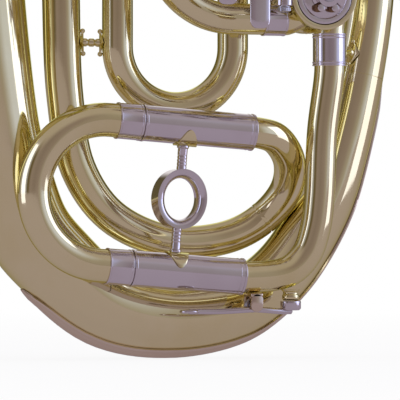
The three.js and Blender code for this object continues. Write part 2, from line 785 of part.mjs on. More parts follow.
/** The stop arm: a sector whose straight edges meet the two stops, with the stud of the link rod. */
function stopArmGeometry() {
  const play = Math.asin((stopRadius + seatGap) / stopCircle);
  const halfAngle = Math.PI - stopSpread - play - rotorSwing / 2;
  const outline = [];
  const steps = 8;
  for (let i = 0; i <= steps; i++) {
    const angle = -halfAngle + (2 * halfAngle * i) / steps;
    outline.push(new THREE.Vector2(stopArmRadius * Math.cos(angle), stopArmRadius * Math.sin(angle)));
  }
  for (let i = 0; i <= steps / 2; i++) {
    const angle = halfAngle + (4 * (Math.PI - halfAngle) * i) / steps;
    outline.push(new THREE.Vector2(stopHubRadius * Math.cos(angle), stopHubRadius * Math.sin(angle)));
  }
  const sector = new THREE.Shape(outline);
  const hole = new THREE.Path();
  hole.absarc(0, 0, clearing(stemRadius, smallSides), 0, 2 * Math.PI);
  sector.holes.push(hole);
  const armFront = -half - bossHeight - seatGap;
  const plate = plateFacingFront(sector, stopArmThickness, armFront).rotateY(-rotorSwing / 2);
  const studPlace = rodArm * Math.SQRT1_2;
  const stud = rodBetween(
    at(studPlace, armFront - stopArmThickness / 2, studPlace), at(studPlace, -half - studReach, studPlace),
    studRadius, pinSides);
  return join(plate, stud, ball(at(studPlace, -half - studReach, studPlace), studBallRadius));
}

const capShoulderShares = [0.82, 0.7];

function rearCapGeometry() {
  const inner = casingRadius + seatGap;
  const outer = inner + capWall;
  return turned([
    [inner, half - capSkirt], [outer, half - capSkirt], [outer, half + capWall],
    [outer * capShoulderShares[0], half + capWall + capDome * capShoulderShares[1]],
    [0, half + capWall + capDome],
    [0, half + capWall / 2 + seatGap], [inner, half + seatGap], [inner, half - capSkirt],
  ], at(0, 0, 0), back, valveSides);
}

// The link rod works at the height of the stud, so the lever's hub is set there too
const armLift = rodArm * Math.SQRT1_2;
const leverSwing = 2 * Math.asin((rodArm * Math.SQRT2) / (2 * shortArm));
const pinPlace = new THREE.Vector2(0, -shortArm).rotateAround(new THREE.Vector2(), leverSwing / 2);
const axleHole = clearing(axleRadius, smallSides);
const hubRadius = axleHole + hubWall;
const axlePlace = at(valveColumn - axleOffset, -frontOffset - axleStand, 0);
const leverFrame = (number) =>
  frameAt(at(axlePlace.x, axlePlace.y, valveHeight(number) + armLift));

function rodGeometry() {
  const pin = at(pinPlace.x, pinPlace.y, 0);
  const stud = at(axleOffset + armLift, axleStand - half - studReach, 0);
  const heading = stud.clone().sub(pin).normalize();
  const eyeInner = clearing(pinRadius, smallSides);
  const eyeOuter = eyeInner + eyeWall;
  const clipInner = studBallRadius + clipPlay;
  const clipOuter = clipInner + clipWall;
  const eye = band(eyeInner, eyeOuter, eyeHeight, pin.clone().setZ(-eyeHeight / 2), up, smallSides);
  const clip = band(clipInner, clipOuter, clipHeight, stud.clone().setZ(-clipHeight / 2), up, smallSides);
  const mouth = new THREE.BoxGeometry(2 * (studRadius + clipPlay), 2 * clipOuter, clipHeight + overrun)
    .translate(stud.x, stud.y + clipOuter, 0);
  const shaft = rodBetween(
    pin.clone().addScaledVector(heading, eyeInner + eyeWall / 2),
    stud.clone().addScaledVector(heading, -clipInner - clipWall / 2), rodRadius, pinSides);
  return join(eye, cut(clip, mouth), shaft);
}

// Long arm: shares of the hub's radius or the plate's place along X, of the plate's stand, and of the
// way from the arm's height to the plate's top
const armRootShares = [[-0.6, 0], [-1.6, -0.25]];
const armBendShares = [0.8, -0.95, 0.8];

/** A finger lever: hub on the axle, short arm with its pin, long arm and the hanging finger plate. */
function leverGeometry(number) {
  const place = valveCount - number;
  const plateX = axleOffset - firstPlateOffset - place * fingerPlateSpacing;
  const plateBottom = place * fingerPlateRise - firstPlateDrop - armLift - place * valvePitch;
  const plateTop = plateBottom + fingerPlateLength;
  const hub = disc(hubRadius, hubBelow + hubAbove, at(0, 0, -hubBelow), up, smallSides);
  const armTop = -eyeHeight / 2 - seatGap;
  const origin = new THREE.Vector2(0, 0);
  const shortOutline = linkOutline(origin, hubRadius, pinPlace, pinRadius + eyeWall);
  const shortPlate = plateFacingUp(shortOutline, shortArmThickness, armTop - shortArmThickness);
  const pin = rodBetween(
    at(pinPlace.x, pinPlace.y, armTop - shortArmThickness / 2),
    at(pinPlace.x, pinPlace.y, eyeHeight / 2 + seatGap), pinRadius, pinSides);
  const pinHead = disc(pinRadius + eyeWall / 2, eyeWall / 2,
    at(pinPlace.x, pinPlace.y, eyeHeight / 2 + seatGap), up, pinSides);
  const armHeight = armTop - shortArmThickness / 2;
  const arm = bar(smoothRoute([
    ...armRootShares.map(([x, y]) => at(x * hubRadius, y * plateStand, armHeight)),
    at(plateX * armBendShares[0], plateStand * armBendShares[1],
      THREE.MathUtils.lerp(armHeight, plateTop, armBendShares[2])),
    at(plateX, -plateStand, plateTop - fingerPlateWidth / 2),
  ]), longArmThickness, longArmWidth);
  const strip = new THREE.Shape();
  const round = fingerPlateWidth / 2;
  strip.absarc(plateX, plateBottom + round, round, Math.PI, 2 * Math.PI);
  strip.absarc(plateX, plateTop - round, round, 0, Math.PI);
  const touch = new THREE.ExtrudeGeometry(strip, {
    depth: fingerPlateThickness, bevelEnabled: false, curveSegments: 5,
  }).rotateX(Math.PI / 2).translate(0, fingerPlateThickness / 2 - plateStand, 0);
  const boreStart = at(0, 0, -hubBelow - overrun / 2);
  const bore = disc(axleHole, hubBelow + hubAbove + overrun, boreStart, up, smallSides);
  return cut(join(hub, shortPlate, pin, pinHead, arm, touch), bore);
}

/** A coil of round wire with two straight legs, wound clockwise from a start angle along +Z. */
function coilRoute(radius, rise, turns, startAngle, legLength) {
  const steps = Math.round(turns * coilSteps);
  const route = [];
  for (let i = 0; i <= steps; i++) {
    const angle = startAngle - (2 * Math.PI * turns * i) / steps;
    route.push({
      point: at(radius * Math.cos(angle), radius * Math.sin(angle), (rise * turns * i) / steps),
      tangent: at(Math.sin(angle), -Math.cos(angle), 0),
    });
  }
  return [moved(route[0], -legLength), ...route, moved(route.at(-1), legLength)];
}

/** Prints the least gap between turns of a coil, measured on the points of its route. */
function reportGap(name, route, wireRadius) {
  let least = Infinity;
  route.forEach((here, i) => {
    for (const there of route.slice(i + coilSteps / 2)) {
      least = Math.min(least, here.point.distanceTo(there.point) - 2 * wireRadius);
    }
  });
  console.log(`${name}: least gap to itself ${least.toFixed(2)} mm`);
}

function buildValve(number) {
  const valve = frameAt(at(valveColumn, -frontOffset, valveHeight(number)));
  add(valve, `valve_${number}_casing`, casingGeometry(), brass);
  add(valve, `valve_${number}_rotor`, rotorGeometry(), steel);
  add(valve, `valve_${number}_bearing_plate`, bearingPlateGeometry(), nickel);
  add(valve, `valve_${number}_stop_arm`, stopArmGeometry(), nickel);
  add(valve, `valve_${number}_rear_cap`, rearCapGeometry(), brass);

  const lever = leverFrame(number);
  add(lever, `lever_${number}`, leverGeometry(number), nickel);
  add(lever, `link_rod_${number}`, rodGeometry(), steel);
  const springStart = -eyeHeight / 2 - seatGap - shortArmThickness / 2 + longArmWidth / 2 + seatGap
    + springWireRadius;
  const coil = coilRoute(springRadius, springRise, springTurns, Math.PI / 2, springLegLength);
  reportGap(`lever spring ${number}`, coil, springWireRadius);
  const spring = loft(
    withSides(coil).map((s) => ringAt(s, springWireRadius, springWireRadius, wireSides)), false);
  add(lever, `lever_spring_${number}`, spring.translate(0, 0, springStart), steel);
}

// Lever axle, held by lugs on a rail that is soldered to the casings
function buildAxle() {
  const firstHub = valveHeight(1) + armLift;
  const lastHub = valveHeight(valveCount) + armLift;
  const bottom = lastHub - hubBelow - seatGap - lugThickness - seatGap;
  const top = firstHub + hubAbove + seatGap + lugThickness + seatGap;
  const frame = frameAt(axlePlace);
  const axle = turned([
    [0, bottom - axleKnobLength], [axleKnobRadius, bottom - axleKnobLength], [axleKnobRadius, bottom],
    [axleRadius, bottom], [axleRadius, top], [axleKnobRadius, top], [axleKnobRadius, top + axleKnobLength],
    [0, top + axleKnobLength],
  ], at(0, 0, 0), up, smallSides);
  add(frame, 'lever_axle', axle, steel);

  const rail = new THREE.BoxGeometry(railWidth, railThickness, top - bottom - 2 * seatGap)
    .translate(0, railGap + railThickness / 2, (top + bottom) / 2);
  const pieces = [rail];
  for (let number = 1; number <= valveCount; number++) {
    const hub = valveHeight(number) + armLift;
    for (const z of [hub - hubBelow - seatGap - lugThickness, hub + hubAbove + seatGap]) {
      const railMiddle = new THREE.Vector2(0, railGap + railThickness / 2);
      const lug = linkOutline(new THREE.Vector2(), lugRadius, railMiddle, lugRadius, 3);
      pieces.push(plateFacingUp(lug, lugThickness, z));
    }
    const reach = axleOffset - casingRadius - seatGap;
    const behindRim = axleStand - half + casingRimLength + seatGap;
    const foot = new THREE.Shape([
      new THREE.Vector2(0, railGap + railThickness / 2),
      new THREE.Vector2(railWidth / 2, railGap + railThickness / 2),
      new THREE.Vector2(railWidth / 2, behindRim), new THREE.Vector2(reach, behindRim),
      new THREE.Vector2(reach, behindRim + lugThickness), new THREE.Vector2(0, behindRim + lugThickness),
    ]);
    pieces.push(plateFacingUp(foot, lugThickness, valveHeight(number) - lugThickness / 2));
  }
  const bore = disc(axleHole, top - bottom + 2 * overrun, at(0, 0, bottom - overrun), up, smallSides);
  add(frame, 'lever_rail', cut(join(...pieces), bore), nickel);
}

// Valve loops
const loopStart = valveColumn - knuckleReach;
const loopFrame = (number) => at(loopStart, -frontOffset, valveHeight(number));

/** A pair of outer slide sleeves joined by a short brace. */
function sleevePair(starts, direction, length, sides) {
  const sleeves = starts.map((start) => {
    const run = bentRoute([start, start.clone().addScaledVector(direction, length)], []);
    const rim = { length: ferruleBeadLength, height: ferruleBead };
    return tube(taper(run, sleeveOuter), sleeveWall, { sides, endCollar: rim });
  });
  const middle = starts.map((start) => start.clone().addScaledVector(direction, length / 2));
  const across = middle[1].clone().sub(middle[0]).normalize();
  const reach = sleeveInner * Math.cos(Math.PI / sides) + sleeveWall / 2;
  const braceEnds = [middle[0].addScaledVector(across, reach), middle[1].addScaledVector(across, -reach)];
  const brace = rodBetween(...braceEnds, braceRodRadius, pinSides);
  return join(...sleeves, brace);
}

/** A slide bow: two legs that run into the sleeves and a half turn between them. */
function slideBow(starts, direction, reach, sides) {
  const spacing = starts[0].distanceTo(starts[1]);
  const corners = [
    starts[0], starts[0].clone().addScaledVector(direction, reach + spacing / 2),
    starts[1].clone().addScaledVector(direction, reach + spacing / 2), starts[1],
  ];
  return tube(taper(bentRoute(corners, [spacing / 2, spacing / 2]), tubeRadius), tubeWall, { sides });
}

function buildSideSlide(number, sleeveRun, reach) {
  const base = loopFrame(number);
  const starts = [loopPortOffset, -loopPortOffset].map((z) => base.clone().add(at(slideLap, 0, z)));
  add(horn, `valve_${number}_sleeves`, sleevePair(starts, left, sleeveRun, smallSides), nickel);
  const legs = [loopPortOffset, -loopPortOffset].map((z) => base.clone().add(at(-2 * seatGap, 0, z)));
  add(horn, `valve_${number}_slide_bow`, slideBow(legs, left, sleeveRun + reach, smallSides), brass);
}

const [branchX, , , branchGrowth] = innerBranchShares[0];
const rearLegX = branchX * ovalWidth + growth(branchGrowth) + rearLegClearance + tubeRadius;
const riserX = rearLegX + riserOffset;
const riserHeight = valveHeight(valveCount) - loopPortOffset + loopBendRadius + riserLead;
const rearRightX = loopStart - rearLoopInset;
const rearLoopBottom = valveHeight(valveCount) + loopPortOffset - rearLoopDrop;
const rearLoopWidth = rearRightX - rearLegX;
const rearY = rearLoopDepth - frontOffset;

function buildThirdLoop() {
  const base = loopFrame(3);
  const lowZ = base.z - loopPortOffset;
  const highZ = base.z + loopPortOffset;
  const frontRun = bentRoute([
    at(loopStart - seatGap, -frontOffset, lowZ), at(riserX, -frontOffset, lowZ),
    at(riserX, -frontOffset, riserHeight + slideLap),
  ], [loopBendRadius]);
  const collar = { length: ferruleLength, height: ferruleBead };
  const frontTube = tube(taper(frontRun, tubeRadius), tubeWall, { startCollar: collar });
  add(horn, 'third_loop_front', frontTube, brass);

  const turn = rearLoopDepth / 2;
  const rear = bentRoute([
    at(rearLegX, rearY, riserHeight + slideLap), at(rearLegX, rearY, rearLoopBottom),
    at(rearRightX, rearY, rearLoopBottom), at(rearRightX, rearY, highZ),
    at(rearRightX, -frontOffset, highZ), at(loopStart - seatGap, -frontOffset, highZ),
  ], [rearLoopWidth / 2, rearLoopWidth / 2, turn, turn]);
  add(horn, 'third_loop_rear', tube(taper(rear, tubeRadius), tubeWall), brass);

  const starts = [at(riserX, -frontOffset, riserHeight), at(rearLegX, rearY, riserHeight)];
  add(horn, 'valve_3_sleeves', sleevePair(starts, up, loopSleeveLength, tubeSides), nickel);
  const lift = at(0, 0, slideLap + seatGap);
  const legs = starts.map((start) => start.clone().add(lift));
  add(horn, 'valve_3_slide_bow', slideBow(legs, up, loopSleeveLength + thirdSlideReach, tubeSides), brass);
}

// Exit tube of the lowest valve, down and round into the lower slide leg
const windwayX = valveColumn + windwayOffset;
const exitTop = valveHeight(valveCount) - valvePitch / 2 - seatGap / 2;

function exitRoute() {
  const points = [
    at(windwayX, -frontOffset, exitTop),
    ...exitShares.map(([x, depth, z]) => ovalAt(x, depth, z)),
    slidePoint(sleeveRight + tubeRadius / 2, lowerLeg),
    slidePoint(sleeveRight - tubeInsertion, lowerLeg),
  ];
  return taper(smoothRoute(points), tubeRadius);
}

/** A diamond flange lying against a tube, at a station of it and on the side that is given. */
function flange(station, side, hasBalls) {
  const along = station.tangent.clone().addScaledVector(side, station.slope).normalize();
  const outwards = side.clone().addScaledVector(station.tangent, -station.slope).normalize();
  const surface = station.point.clone().addScaledVector(side, station.radius);
  const point = surface.addScaledVector(outwards, seatGap);
  const diamond = new THREE.Shape([
    new THREE.Vector2(-flangeWidth / 2, 0), new THREE.Vector2(0, -flangeHeight / 2),
    new THREE.Vector2(flangeWidth / 2, 0), new THREE.Vector2(0, flangeHeight / 2),
  ]);
  const turn = new THREE.Matrix4().makeBasis(along.clone().cross(outwards), along, outwards);
  const plate = new THREE.ExtrudeGeometry(diamond, { depth: flangeThickness, bevelEnabled: false })
    .applyMatrix4(turn).translate(point.x, point.y, point.z);
  const middle = point.clone().addScaledVector(outwards, flangeBallRadius);
  const ballReach = (flangeHeight - flangeBallRadius) / 2;
  const balls = (hasBalls ? [ballReach, -ballReach] : []).map((reach) =>
    ball(middle.clone().addScaledVector(along, reach), flangeBallRadius));
  return [plate, ...balls];
}

/** The side of a station that faces a point, square to its tube. */
function facing(station, point) {
  const way = point.clone().sub(station.point);
  return way.addScaledVector(station.tangent, -way.dot(station.tangent)).normalize();
}

/** A stay from one tube to another, given as stations with their radii. */
function stayPieces(from, to, { startFlange = true, balls = false } = {}) {
  const sides = [facing(from, to.point), facing(to, from.point)];
  const lift = seatGap + flangeThickness / 2;
  const ends = [from, to].map((station, i) =>
    station.point.clone().addScaledVector(sides[i], station.radius + lift));
  return [
    rodBetween(...ends, stayRadius, pinSides),
    ...(startFlange ? flange(from, sides[0], balls) : []),
    ...flange(to, sides[1], balls),
  ];
}

/** The station of a route that lies nearest a point. */
function nearest(route, point) {
  const spans = route.slice(1).map((station, i) => {
    const line = new THREE.Line3(route[i].point, station.point);
    const share = line.closestPointToPointParameter(point, true);
    return {
      point: line.at(share, new THREE.Vector3()),
      tangent: line.delta(new THREE.Vector3()).normalize(),
      radius: THREE.MathUtils.lerp(route[i].radius, station.radius, share),
      slope: (station.radius - route[i].radius) / line.distance(),
    };
  });
  return spans.reduce((best, span) =>
    (span.point.distanceTo(point) < best.point.distanceTo(point) ? span : best));
}

function buildExit() {
  const route = exitRoute();
  add(horn, 'exit_tube', tube(route, tubeWall), brass);

  const middle = at(windwayX, -frontOffset, exitTop);
  const inner = clearing(tubeRadius, fineSides);
  const outer = inner + exitFerruleWall;
  const low = -exitFerruleLength / 2;
  const high = exitFerruleLength / 2;
  const bead = outer + ferruleBead;
  const sleeve = turned([
    [inner, low], [bead, low], [bead, low + ferruleBeadLength], [outer, low + ferruleBeadLength],
    [outer, high - ferruleBeadLength], [bead, high - ferruleBeadLength], [bead, high], [inner, high],
    [inner, low],
  ], middle, up, fineSides);
  const from = {
    point: middle.clone().setZ(middle.z - exitStayDrop),
    radius: tubeRadius + exitFerruleWall - flangeThickness / 2,
    tangent: up,
    slope: 0,
  };
  const branch = nearest(boreRoute.slice(branchStart, topStart + 1), from.point.clone().setY(0));
  const to = { ...branch, point: branch.point.clone().setZ(from.point.z) };
  const stay = stayPieces(from, to, { startFlange: false, balls: true });
  add(horn, 'exit_ferrule', join(sleeve, ...stay), nickel);
}

// Leadpipe, receiver and mouthpiece. The bowl's rows are shares of the rim's radius and of the length
const receiverShares = [0.15, 0.85, 0.87];
const shankTipShare = 0.93;
const shankRootShares = [1.1, 0.45];
const throatFlareShare = 1.6;
const throatPlaceShare = 0.57;
const bowlShares = [
  [0.4, 0.58], [0.62, 0.78], [0.88, 0.9], [1, 0.955], [1, 0.985], [0.9, 1], [0.72, 1], [0.62, 0.96],
  [0.42, 0.76],
];

function buildLeadpipe() {
  const top = valveHeight(1) + valvePitch / 2 + seatGap / 2;
  const points = [
    at(windwayX, -frontOffset, top),
    ...leadpipeShares.map(([x, depth, z]) => ovalAt(x, depth, z)),
  ];
  const route = taper(smoothRoute(points), tubeRadius, leadpipeEndRadius);
  const end = route.at(-1);
  end.tangent = end.point.clone().sub(route.at(-2).point).normalize();
  add(horn, 'leadpipe', tube(route, tubeWall, { sides: smallSides }), brass);

  const inner = clearing(leadpipeEndRadius, fineSides);
  const outer = inner + receiverWall;
  const start = moved(end, -(receiverLength - shankInsertion) / 2).point;
  const receiver = turned([
    [inner, 0], [outer - receiverWall / 2, 0], [outer, receiverLength * receiverShares[0]],
    [outer, receiverLength * receiverShares[1]], [outer + ferruleBead, receiverLength * receiverShares[2]],
    [outer + ferruleBead, receiverLength], [inner, receiverLength], [inner, 0],
  ], start, end.tangent, fineSides);
  add(horn, 'mouthpiece_receiver', receiver, nickel);

  const mouth = start.clone().addScaledVector(end.tangent, receiverLength - shankInsertion);
  const throatEnd = [throatRadius * throatFlareShare, 0];
  const profile = [
    throatEnd, [shankRadius * shankTipShare, 0], [shankRadius, shankInsertion],
    [shankRadius * shankRootShares[0], mouthpieceLength * shankRootShares[1]],
    ...bowlShares.map(([radius, along]) => [mouthpieceRimRadius * radius, mouthpieceLength * along]),
    [throatRadius, mouthpieceLength * throatPlaceShare], throatEnd,
  ];
  add(horn, 'mouthpiece', turned(profile, mouth, end.tangent, fineSides), nickel);
  return route;
}

// Water key on the lowest bend of the exit tube
const waterKeyShare = 0.2625;
const keyArmShares = [1 / 3, 0.8];

function buildWaterKey() {
  const route = exitRoute();
  const low = nearest(route, ovalAt(waterKeyShare, -1, 0));
  const seat = low.point.z - tubeRadius - seatGap;
  const nipplePlace = at(waterKeyShare * ovalWidth, -frontOffset, seat);
  const nipple = turned([
    [nippleBore, 0], [nippleRadius, 0], [nippleRadius * nippleTipShare, nippleLength],
    [nippleBore, nippleLength], [nippleBore, 0],
  ], nipplePlace, down, tubeSides);
  add(horn, 'water_key_nipple', nipple, brass);

  const pivotX = slidePoint(sleeveRight + keyPivotLead, lowerLeg).x;
  const legHeight = nearest(route, at(pivotX, -frontOffset, seat)).point.z;
  const pivotZ = legHeight - keyPivotDrop;
  const frame = frameAt(at(pivotX, -frontOffset, pivotZ));
  const earTop = keyPivotDrop - tubeRadius - seatGap;
  const ears = [1, -1].map((way) => {
    const outline = linkOutline(
      new THREE.Vector2(0, earTop - keyEarWidth / 2), keyEarWidth / 2, new THREE.Vector2(0, 0),
      keyEarWidth / 2, 4);
    const y = way > 0 ? keyTubeLength / 2 + seatGap + keyEarThickness : -keyTubeLength / 2 - seatGap;
    return plateFacingFront(outline, keyEarThickness, y);
  });
  const bridgeLength = keyTubeLength + 2 * seatGap + 2 * keyEarThickness;
  const bridge = new THREE.BoxGeometry(keyEarWidth, bridgeLength, keyEarThickness)
    .translate(0, 0, earTop - keyEarThickness / 2);
  const pivot = rodBetween(at(0, -bridgeLength / 2, 0), at(0, bridgeLength / 2, 0), keyPivotRadius);
  add(frame, 'water_key_saddle', join(...ears, bridge, pivot), nickel);

  const cupX = nipplePlace.x - pivotX;
  const cupTop = nipplePlace.z - nippleLength - seatGap - pivotZ;
  const cupBase = cupTop - keyCupHeight;
  const armY = -keyTubeLength / 4;
  const hub = disc(keyTubeRadius, keyTubeLength, at(0, -keyTubeLength / 2, 0), back, smallSides);
  const cup = turned([
    [0, 0], [keyCupRadius, 0], [keyCupRadius, keyCupHeight], [keyCupRadius - keyCupWall, keyCupHeight],
    [keyCupRadius - keyCupWall, keyCupWall], [0, keyCupWall],
  ], at(cupX, 0, cupBase), up, tubeSides);
  const underCup = cupBase + (keyCupWall - keyArmThickness) / 2;
  const arm = bar(smoothRoute([
    at(0, armY, -keyArmDrop), at(cupX * keyArmShares[0], armY, underCup * keyArmShares[1]),
    at(cupX - keyCupRadius, armY / 2, underCup), at(cupX, 0, underCup),
  ]), keyArmWidth, keyArmThickness, pinSides);
  const touch = bar(smoothRoute([
    at(0, armY, -keyArmDrop), at(-keyTouchReach / 2, 0, -keyTouchDrop),
    at(-keyTouchReach, 0, -keyTouchDrop),
  ]), keyArmWidth, keyArmThickness, pinSides);
  const touchPlate = disc(keyTouchRadius, keyArmThickness,
    at(-keyTouchReach, 0, -keyTouchDrop - keyArmThickness / 2), up, tubeSides);
  const pivotHole = disc(clearing(keyPivotRadius, smallSides), keyTubeLength + overrun,
    at(0, -(keyTubeLength + overrun) / 2, 0), back, smallSides);
  add(frame, 'water_key_lever', cut(join(hub, cup, arm, touch, touchPlate), pivotHole), nickel);

  const corkRadius = keyCupRadius - keyCupWall - seatGap;
  const corkBase = at(cupX, 0, cupBase + keyCupWall + seatGap);
  const pad = disc(corkRadius, keyCupHeight - keyCupWall - seatGap, corkBase, up, tubeSides);
  add(frame, 'water_key_cork', pad, cork);

  const coil = coilRoute(keySpringRadius, keySpringRise, keySpringTurns, 0, keySpringRadius);
  reportGap('water key spring', coil, keySpringWire);
  const wire = loft(withSides(coil).map((s) => ringAt(s, keySpringWire, keySpringWire, wireSides)), false);
  add(frame, 'water_key_spring', wire.rotateX(-Math.PI / 2).translate(0, seatGap, 0), steel);
}

// Stays between the fixed tubes, and the thumb ring
const innerColumnShare = -0.26;
const bellStayShare = 0.68;
const leadpipeStayShares = [-0.535, -2, 1.03];
const topStayShares = [0.06, 0, 1];
const thumbRingShare = 0.52;

function buildStays(leadpipeRoute) {
  const innerRoute = boreRoute.slice(innerStart - 2, crookStart);
  const bellRoute = boreRoute.slice(0, bowStart + 1);
  const inner = nearest(innerRoute, ovalAt(innerColumnShare, 0, bellStayShare));
  const bell = nearest(bellRoute, inner.point);
  add(horn, 'bell_stay', join(...stayPieces(bell, inner)), nickel);

  const pipe = nearest(leadpipeRoute, ovalAt(...leadpipeStayShares));
  const beside = nearest(bellRoute, pipe.point);
  add(horn, 'leadpipe_stay', join(...stayPieces(beside, pipe)), nickel);

  const bowFront = nearest(boreRoute.slice(topStart, innerStart), ovalAt(...topStayShares));
  const over = nearest(leadpipeRoute, bowFront.point);
  add(horn, 'top_stay', join(...stayPieces(bowFront, over)), nickel);

  const stayHeight = rearLoopBottom + rearLoopWidth / 2 + loopStayRise;
  const branch = nearest(innerRoute, at(innerColumnShare * ovalWidth, 0, stayHeight));
  const loopSide = {
    point: at(rearLegX, rearY, branch.point.z), radius: tubeRadius, tangent: up, slope: 0,
  };
  add(horn, 'loop_stay', join(...stayPieces(branch, loopSide, { balls: true })), nickel);

  const grip = nearest(innerRoute, ovalAt(innerColumnShare, 0, thumbRingShare));
  const seat = grip.point.clone().add(at(0, -grip.radius - seatGap, 0));
  const centre = seat.clone().add(at(0, -thumbStemLength - thumbRingRadius - thumbRingBand, 0));
  const ringProfile = [];
  for (let i = 0; i <= pinSides; i++) {
    const angle = (2 * Math.PI * i) / pinSides;
    ringProfile.push([
      thumbRingRadius + (thumbRingBand / 2) * (1 + Math.cos(angle)),
      thumbRingBand * Math.sin(angle),
    ]);
  }
  const ring = turned(ringProfile, centre, right, fineSides);
  const stemEnds = [flangeThickness / 2, thumbStemLength + thumbRingBand / 2].map((reach) =>
    seat.clone().addScaledVector(front, reach));
  const stem = rodBetween(...stemEnds, stayRadius, pinSides);
  add(horn, 'thumb_ring', join(ring, stem, ...flange(grip, front, false)), nickel);
}

buildGuard(buildBore());
buildMainSlide();
buildRingBrace();
for (let number = 1; number <= valveCount; number++) buildValve(number);
buildAxle();
buildSideSlide(1, firstSleeveLength, firstSlideReach);
buildSideSlide(2, secondSleeveLength, secondSlideReach);
buildThirdLoop();
buildExit();
buildWaterKey();
buildStays(buildLeadpipe());

export default horn;
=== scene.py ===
"""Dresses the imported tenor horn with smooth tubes, fine fittings and polished metals."""

import json
import logging
from bisect import bisect_left
from dataclasses import dataclass, field
from enum import Enum
from math import asin, atan2, ceil, copysign, cos, degrees, exp, hypot, inf, pi, radians, sin, sqrt, tan
from typing import Iterable, Optional, Sequence

import bpy
from mathutils import Matrix, Quaternion, Vector


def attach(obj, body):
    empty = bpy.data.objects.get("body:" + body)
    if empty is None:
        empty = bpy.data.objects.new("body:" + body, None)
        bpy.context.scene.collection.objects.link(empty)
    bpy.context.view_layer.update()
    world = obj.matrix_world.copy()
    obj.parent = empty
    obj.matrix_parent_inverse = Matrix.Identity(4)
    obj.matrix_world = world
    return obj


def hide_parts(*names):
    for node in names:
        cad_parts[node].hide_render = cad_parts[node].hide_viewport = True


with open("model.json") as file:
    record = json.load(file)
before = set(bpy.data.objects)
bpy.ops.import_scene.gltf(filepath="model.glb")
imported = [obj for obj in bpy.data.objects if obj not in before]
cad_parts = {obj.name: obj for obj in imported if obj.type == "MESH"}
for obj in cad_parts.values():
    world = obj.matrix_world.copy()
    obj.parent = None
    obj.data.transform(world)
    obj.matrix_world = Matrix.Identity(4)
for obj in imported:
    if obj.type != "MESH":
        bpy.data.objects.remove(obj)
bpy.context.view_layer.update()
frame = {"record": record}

LOG = logging.getLogger("horn")
MM = 0.001
FRONT = Vector((0, -1, 0))
BACK = Vector((0, 1, 0))
UP = Vector((0, 0, 1))
DOWN = Vector((0, 0, -1))
LEFT = Vector((-1, 0, 0))
RIGHT = Vector((1, 0, 0))
TAU = 2 * pi
SHORTEST = 0.2
TINY = 0.001
CORNER_DIP = 0.2
FLOOR_GAP = 0.02
STEEP = 0.9
NEARLY_STRAIGHT = radians(165)
SHARP_EDGE = radians(38)


class Finish(Enum):
    """The finishes, each named after its material slot unless slot says otherwise."""

    BRASS = "lacquered_brass"
    NICKEL = "nickel_trim"
    GUARD = "bow_guard_nickel"
    THROAT = "bell_throat_brass"
    STEEL = "steel_linkage"
    CORK = "key_pad"

    @property
    def slot(self) -> str:
        """The record's material slot that the finish belongs to."""
        return {Finish.GUARD: Finish.NICKEL, Finish.THROAT: Finish.BRASS}.get(self, self).value


@dataclass(frozen=True)
class MetalLook:
    """How one polished metal looks: colours in linear light, the rest as shares."""

    colour: tuple
    worn: tuple
    edge: tuple
    roughness: float
    spread: float
    scratches: float
    lacquer: float = 0.0
    metallic: float = 1.0


LOOKS = {
    Finish.BRASS: MetalLook(
        (0.89, 0.80, 0.46), (0.83, 0.73, 0.37), (0.70, 0.70, 0.32),
        roughness=0.07, spread=0.04, scratches=0.012, lacquer=0.25),
    Finish.NICKEL: MetalLook(
        (0.77, 0.72, 0.72), (0.70, 0.64, 0.63), (0.80, 0.76, 0.76),
        roughness=0.08, spread=0.06, scratches=0.03),
    Finish.GUARD: MetalLook(
        (0.82, 0.70, 0.53), (0.75, 0.62, 0.46), (0.80, 0.72, 0.60),
        roughness=0.12, spread=0.08, scratches=0.03, lacquer=0.2),
    Finish.THROAT: MetalLook(
        (0.86, 0.75, 0.45), (0.76, 0.62, 0.33), (0.70, 0.68, 0.40),
        roughness=0.17, spread=0.10, scratches=0.02, metallic=0.8),
    Finish.STEEL: MetalLook(
        (0.62, 0.62, 0.63), (0.48, 0.48, 0.49), (0.80, 0.80, 0.80),
        roughness=0.14, spread=0.12, scratches=0.12),
}


@dataclass
class Sizes:
    """Driving sizes in millimetres, the same as the solids have."""

    oval_width: float = 200
    oval_height: float = 412
    front: float = 31
    tube: float = 7.4
    wall: float = 0.75
    bow: float = 18.1
    rim: float = 118.6
    gap: float = 0.15
    guard_gap: float = 0.5
    guard: float = 0.9
    guard_flat: float = 0.45
    leg_spacing: float = 68.8
    tilt: float = radians(4.4)
    sleeve: float = 55.7
    sleeve_outer: float = 8.55
    slide_bow: float = 8.0
    ferrule: float = 12
    valve_x: float = 64.5
    valve_row: float = 0.373
    valve_pitch: float = 50
    casing: float = 15.5
    casing_half: float = 15
    windway: float = 7.7
    port: float = 11
    knuckle: float = 19.5
    rod_arm: float = 6
    short_arm: float = 20
    axle: tuple = (42.0, -52.0)
    bow_height: float = field(init=False)

    def __post_init__(self) -> None:
        """Works out how high the bottom bow's centre stands."""
        self.bow_height = self.bow + self.guard_gap + self.guard - self.guard_flat

    def oval(self, x: float, depth: float, z: float) -> Vector:
        """A point from shares of the oval's width, the front offset and the height above the bow's centre."""
        return Vector((x * self.oval_width, depth * self.front, self.bow_height + z * self.oval_height))

    def valve_z(self, number: int) -> float:
        """Height of a valve's centre, counted from the top valve down."""
        return self.bow_height + self.valve_row * self.oval_height + (3 - number) * self.valve_pitch

    @property
    def arm_lift(self) -> float:
        """Height of the link rods above the valve's centre."""
        return self.rod_arm * sqrt(0.5)

    @property
    def swing(self) -> float:
        """Angle that a lever turns through."""
        return 2 * asin(self.rod_arm * sqrt(2) / (2 * self.short_arm))


S = Sizes()


@dataclass
class Station:
    """A place on a centreline, with its direction, radius and section axes."""

    point: Vector
    tangent: Vector
    radius: float = 0.0
    side: Optional[Vector] = None
    across: Optional[Vector] = None


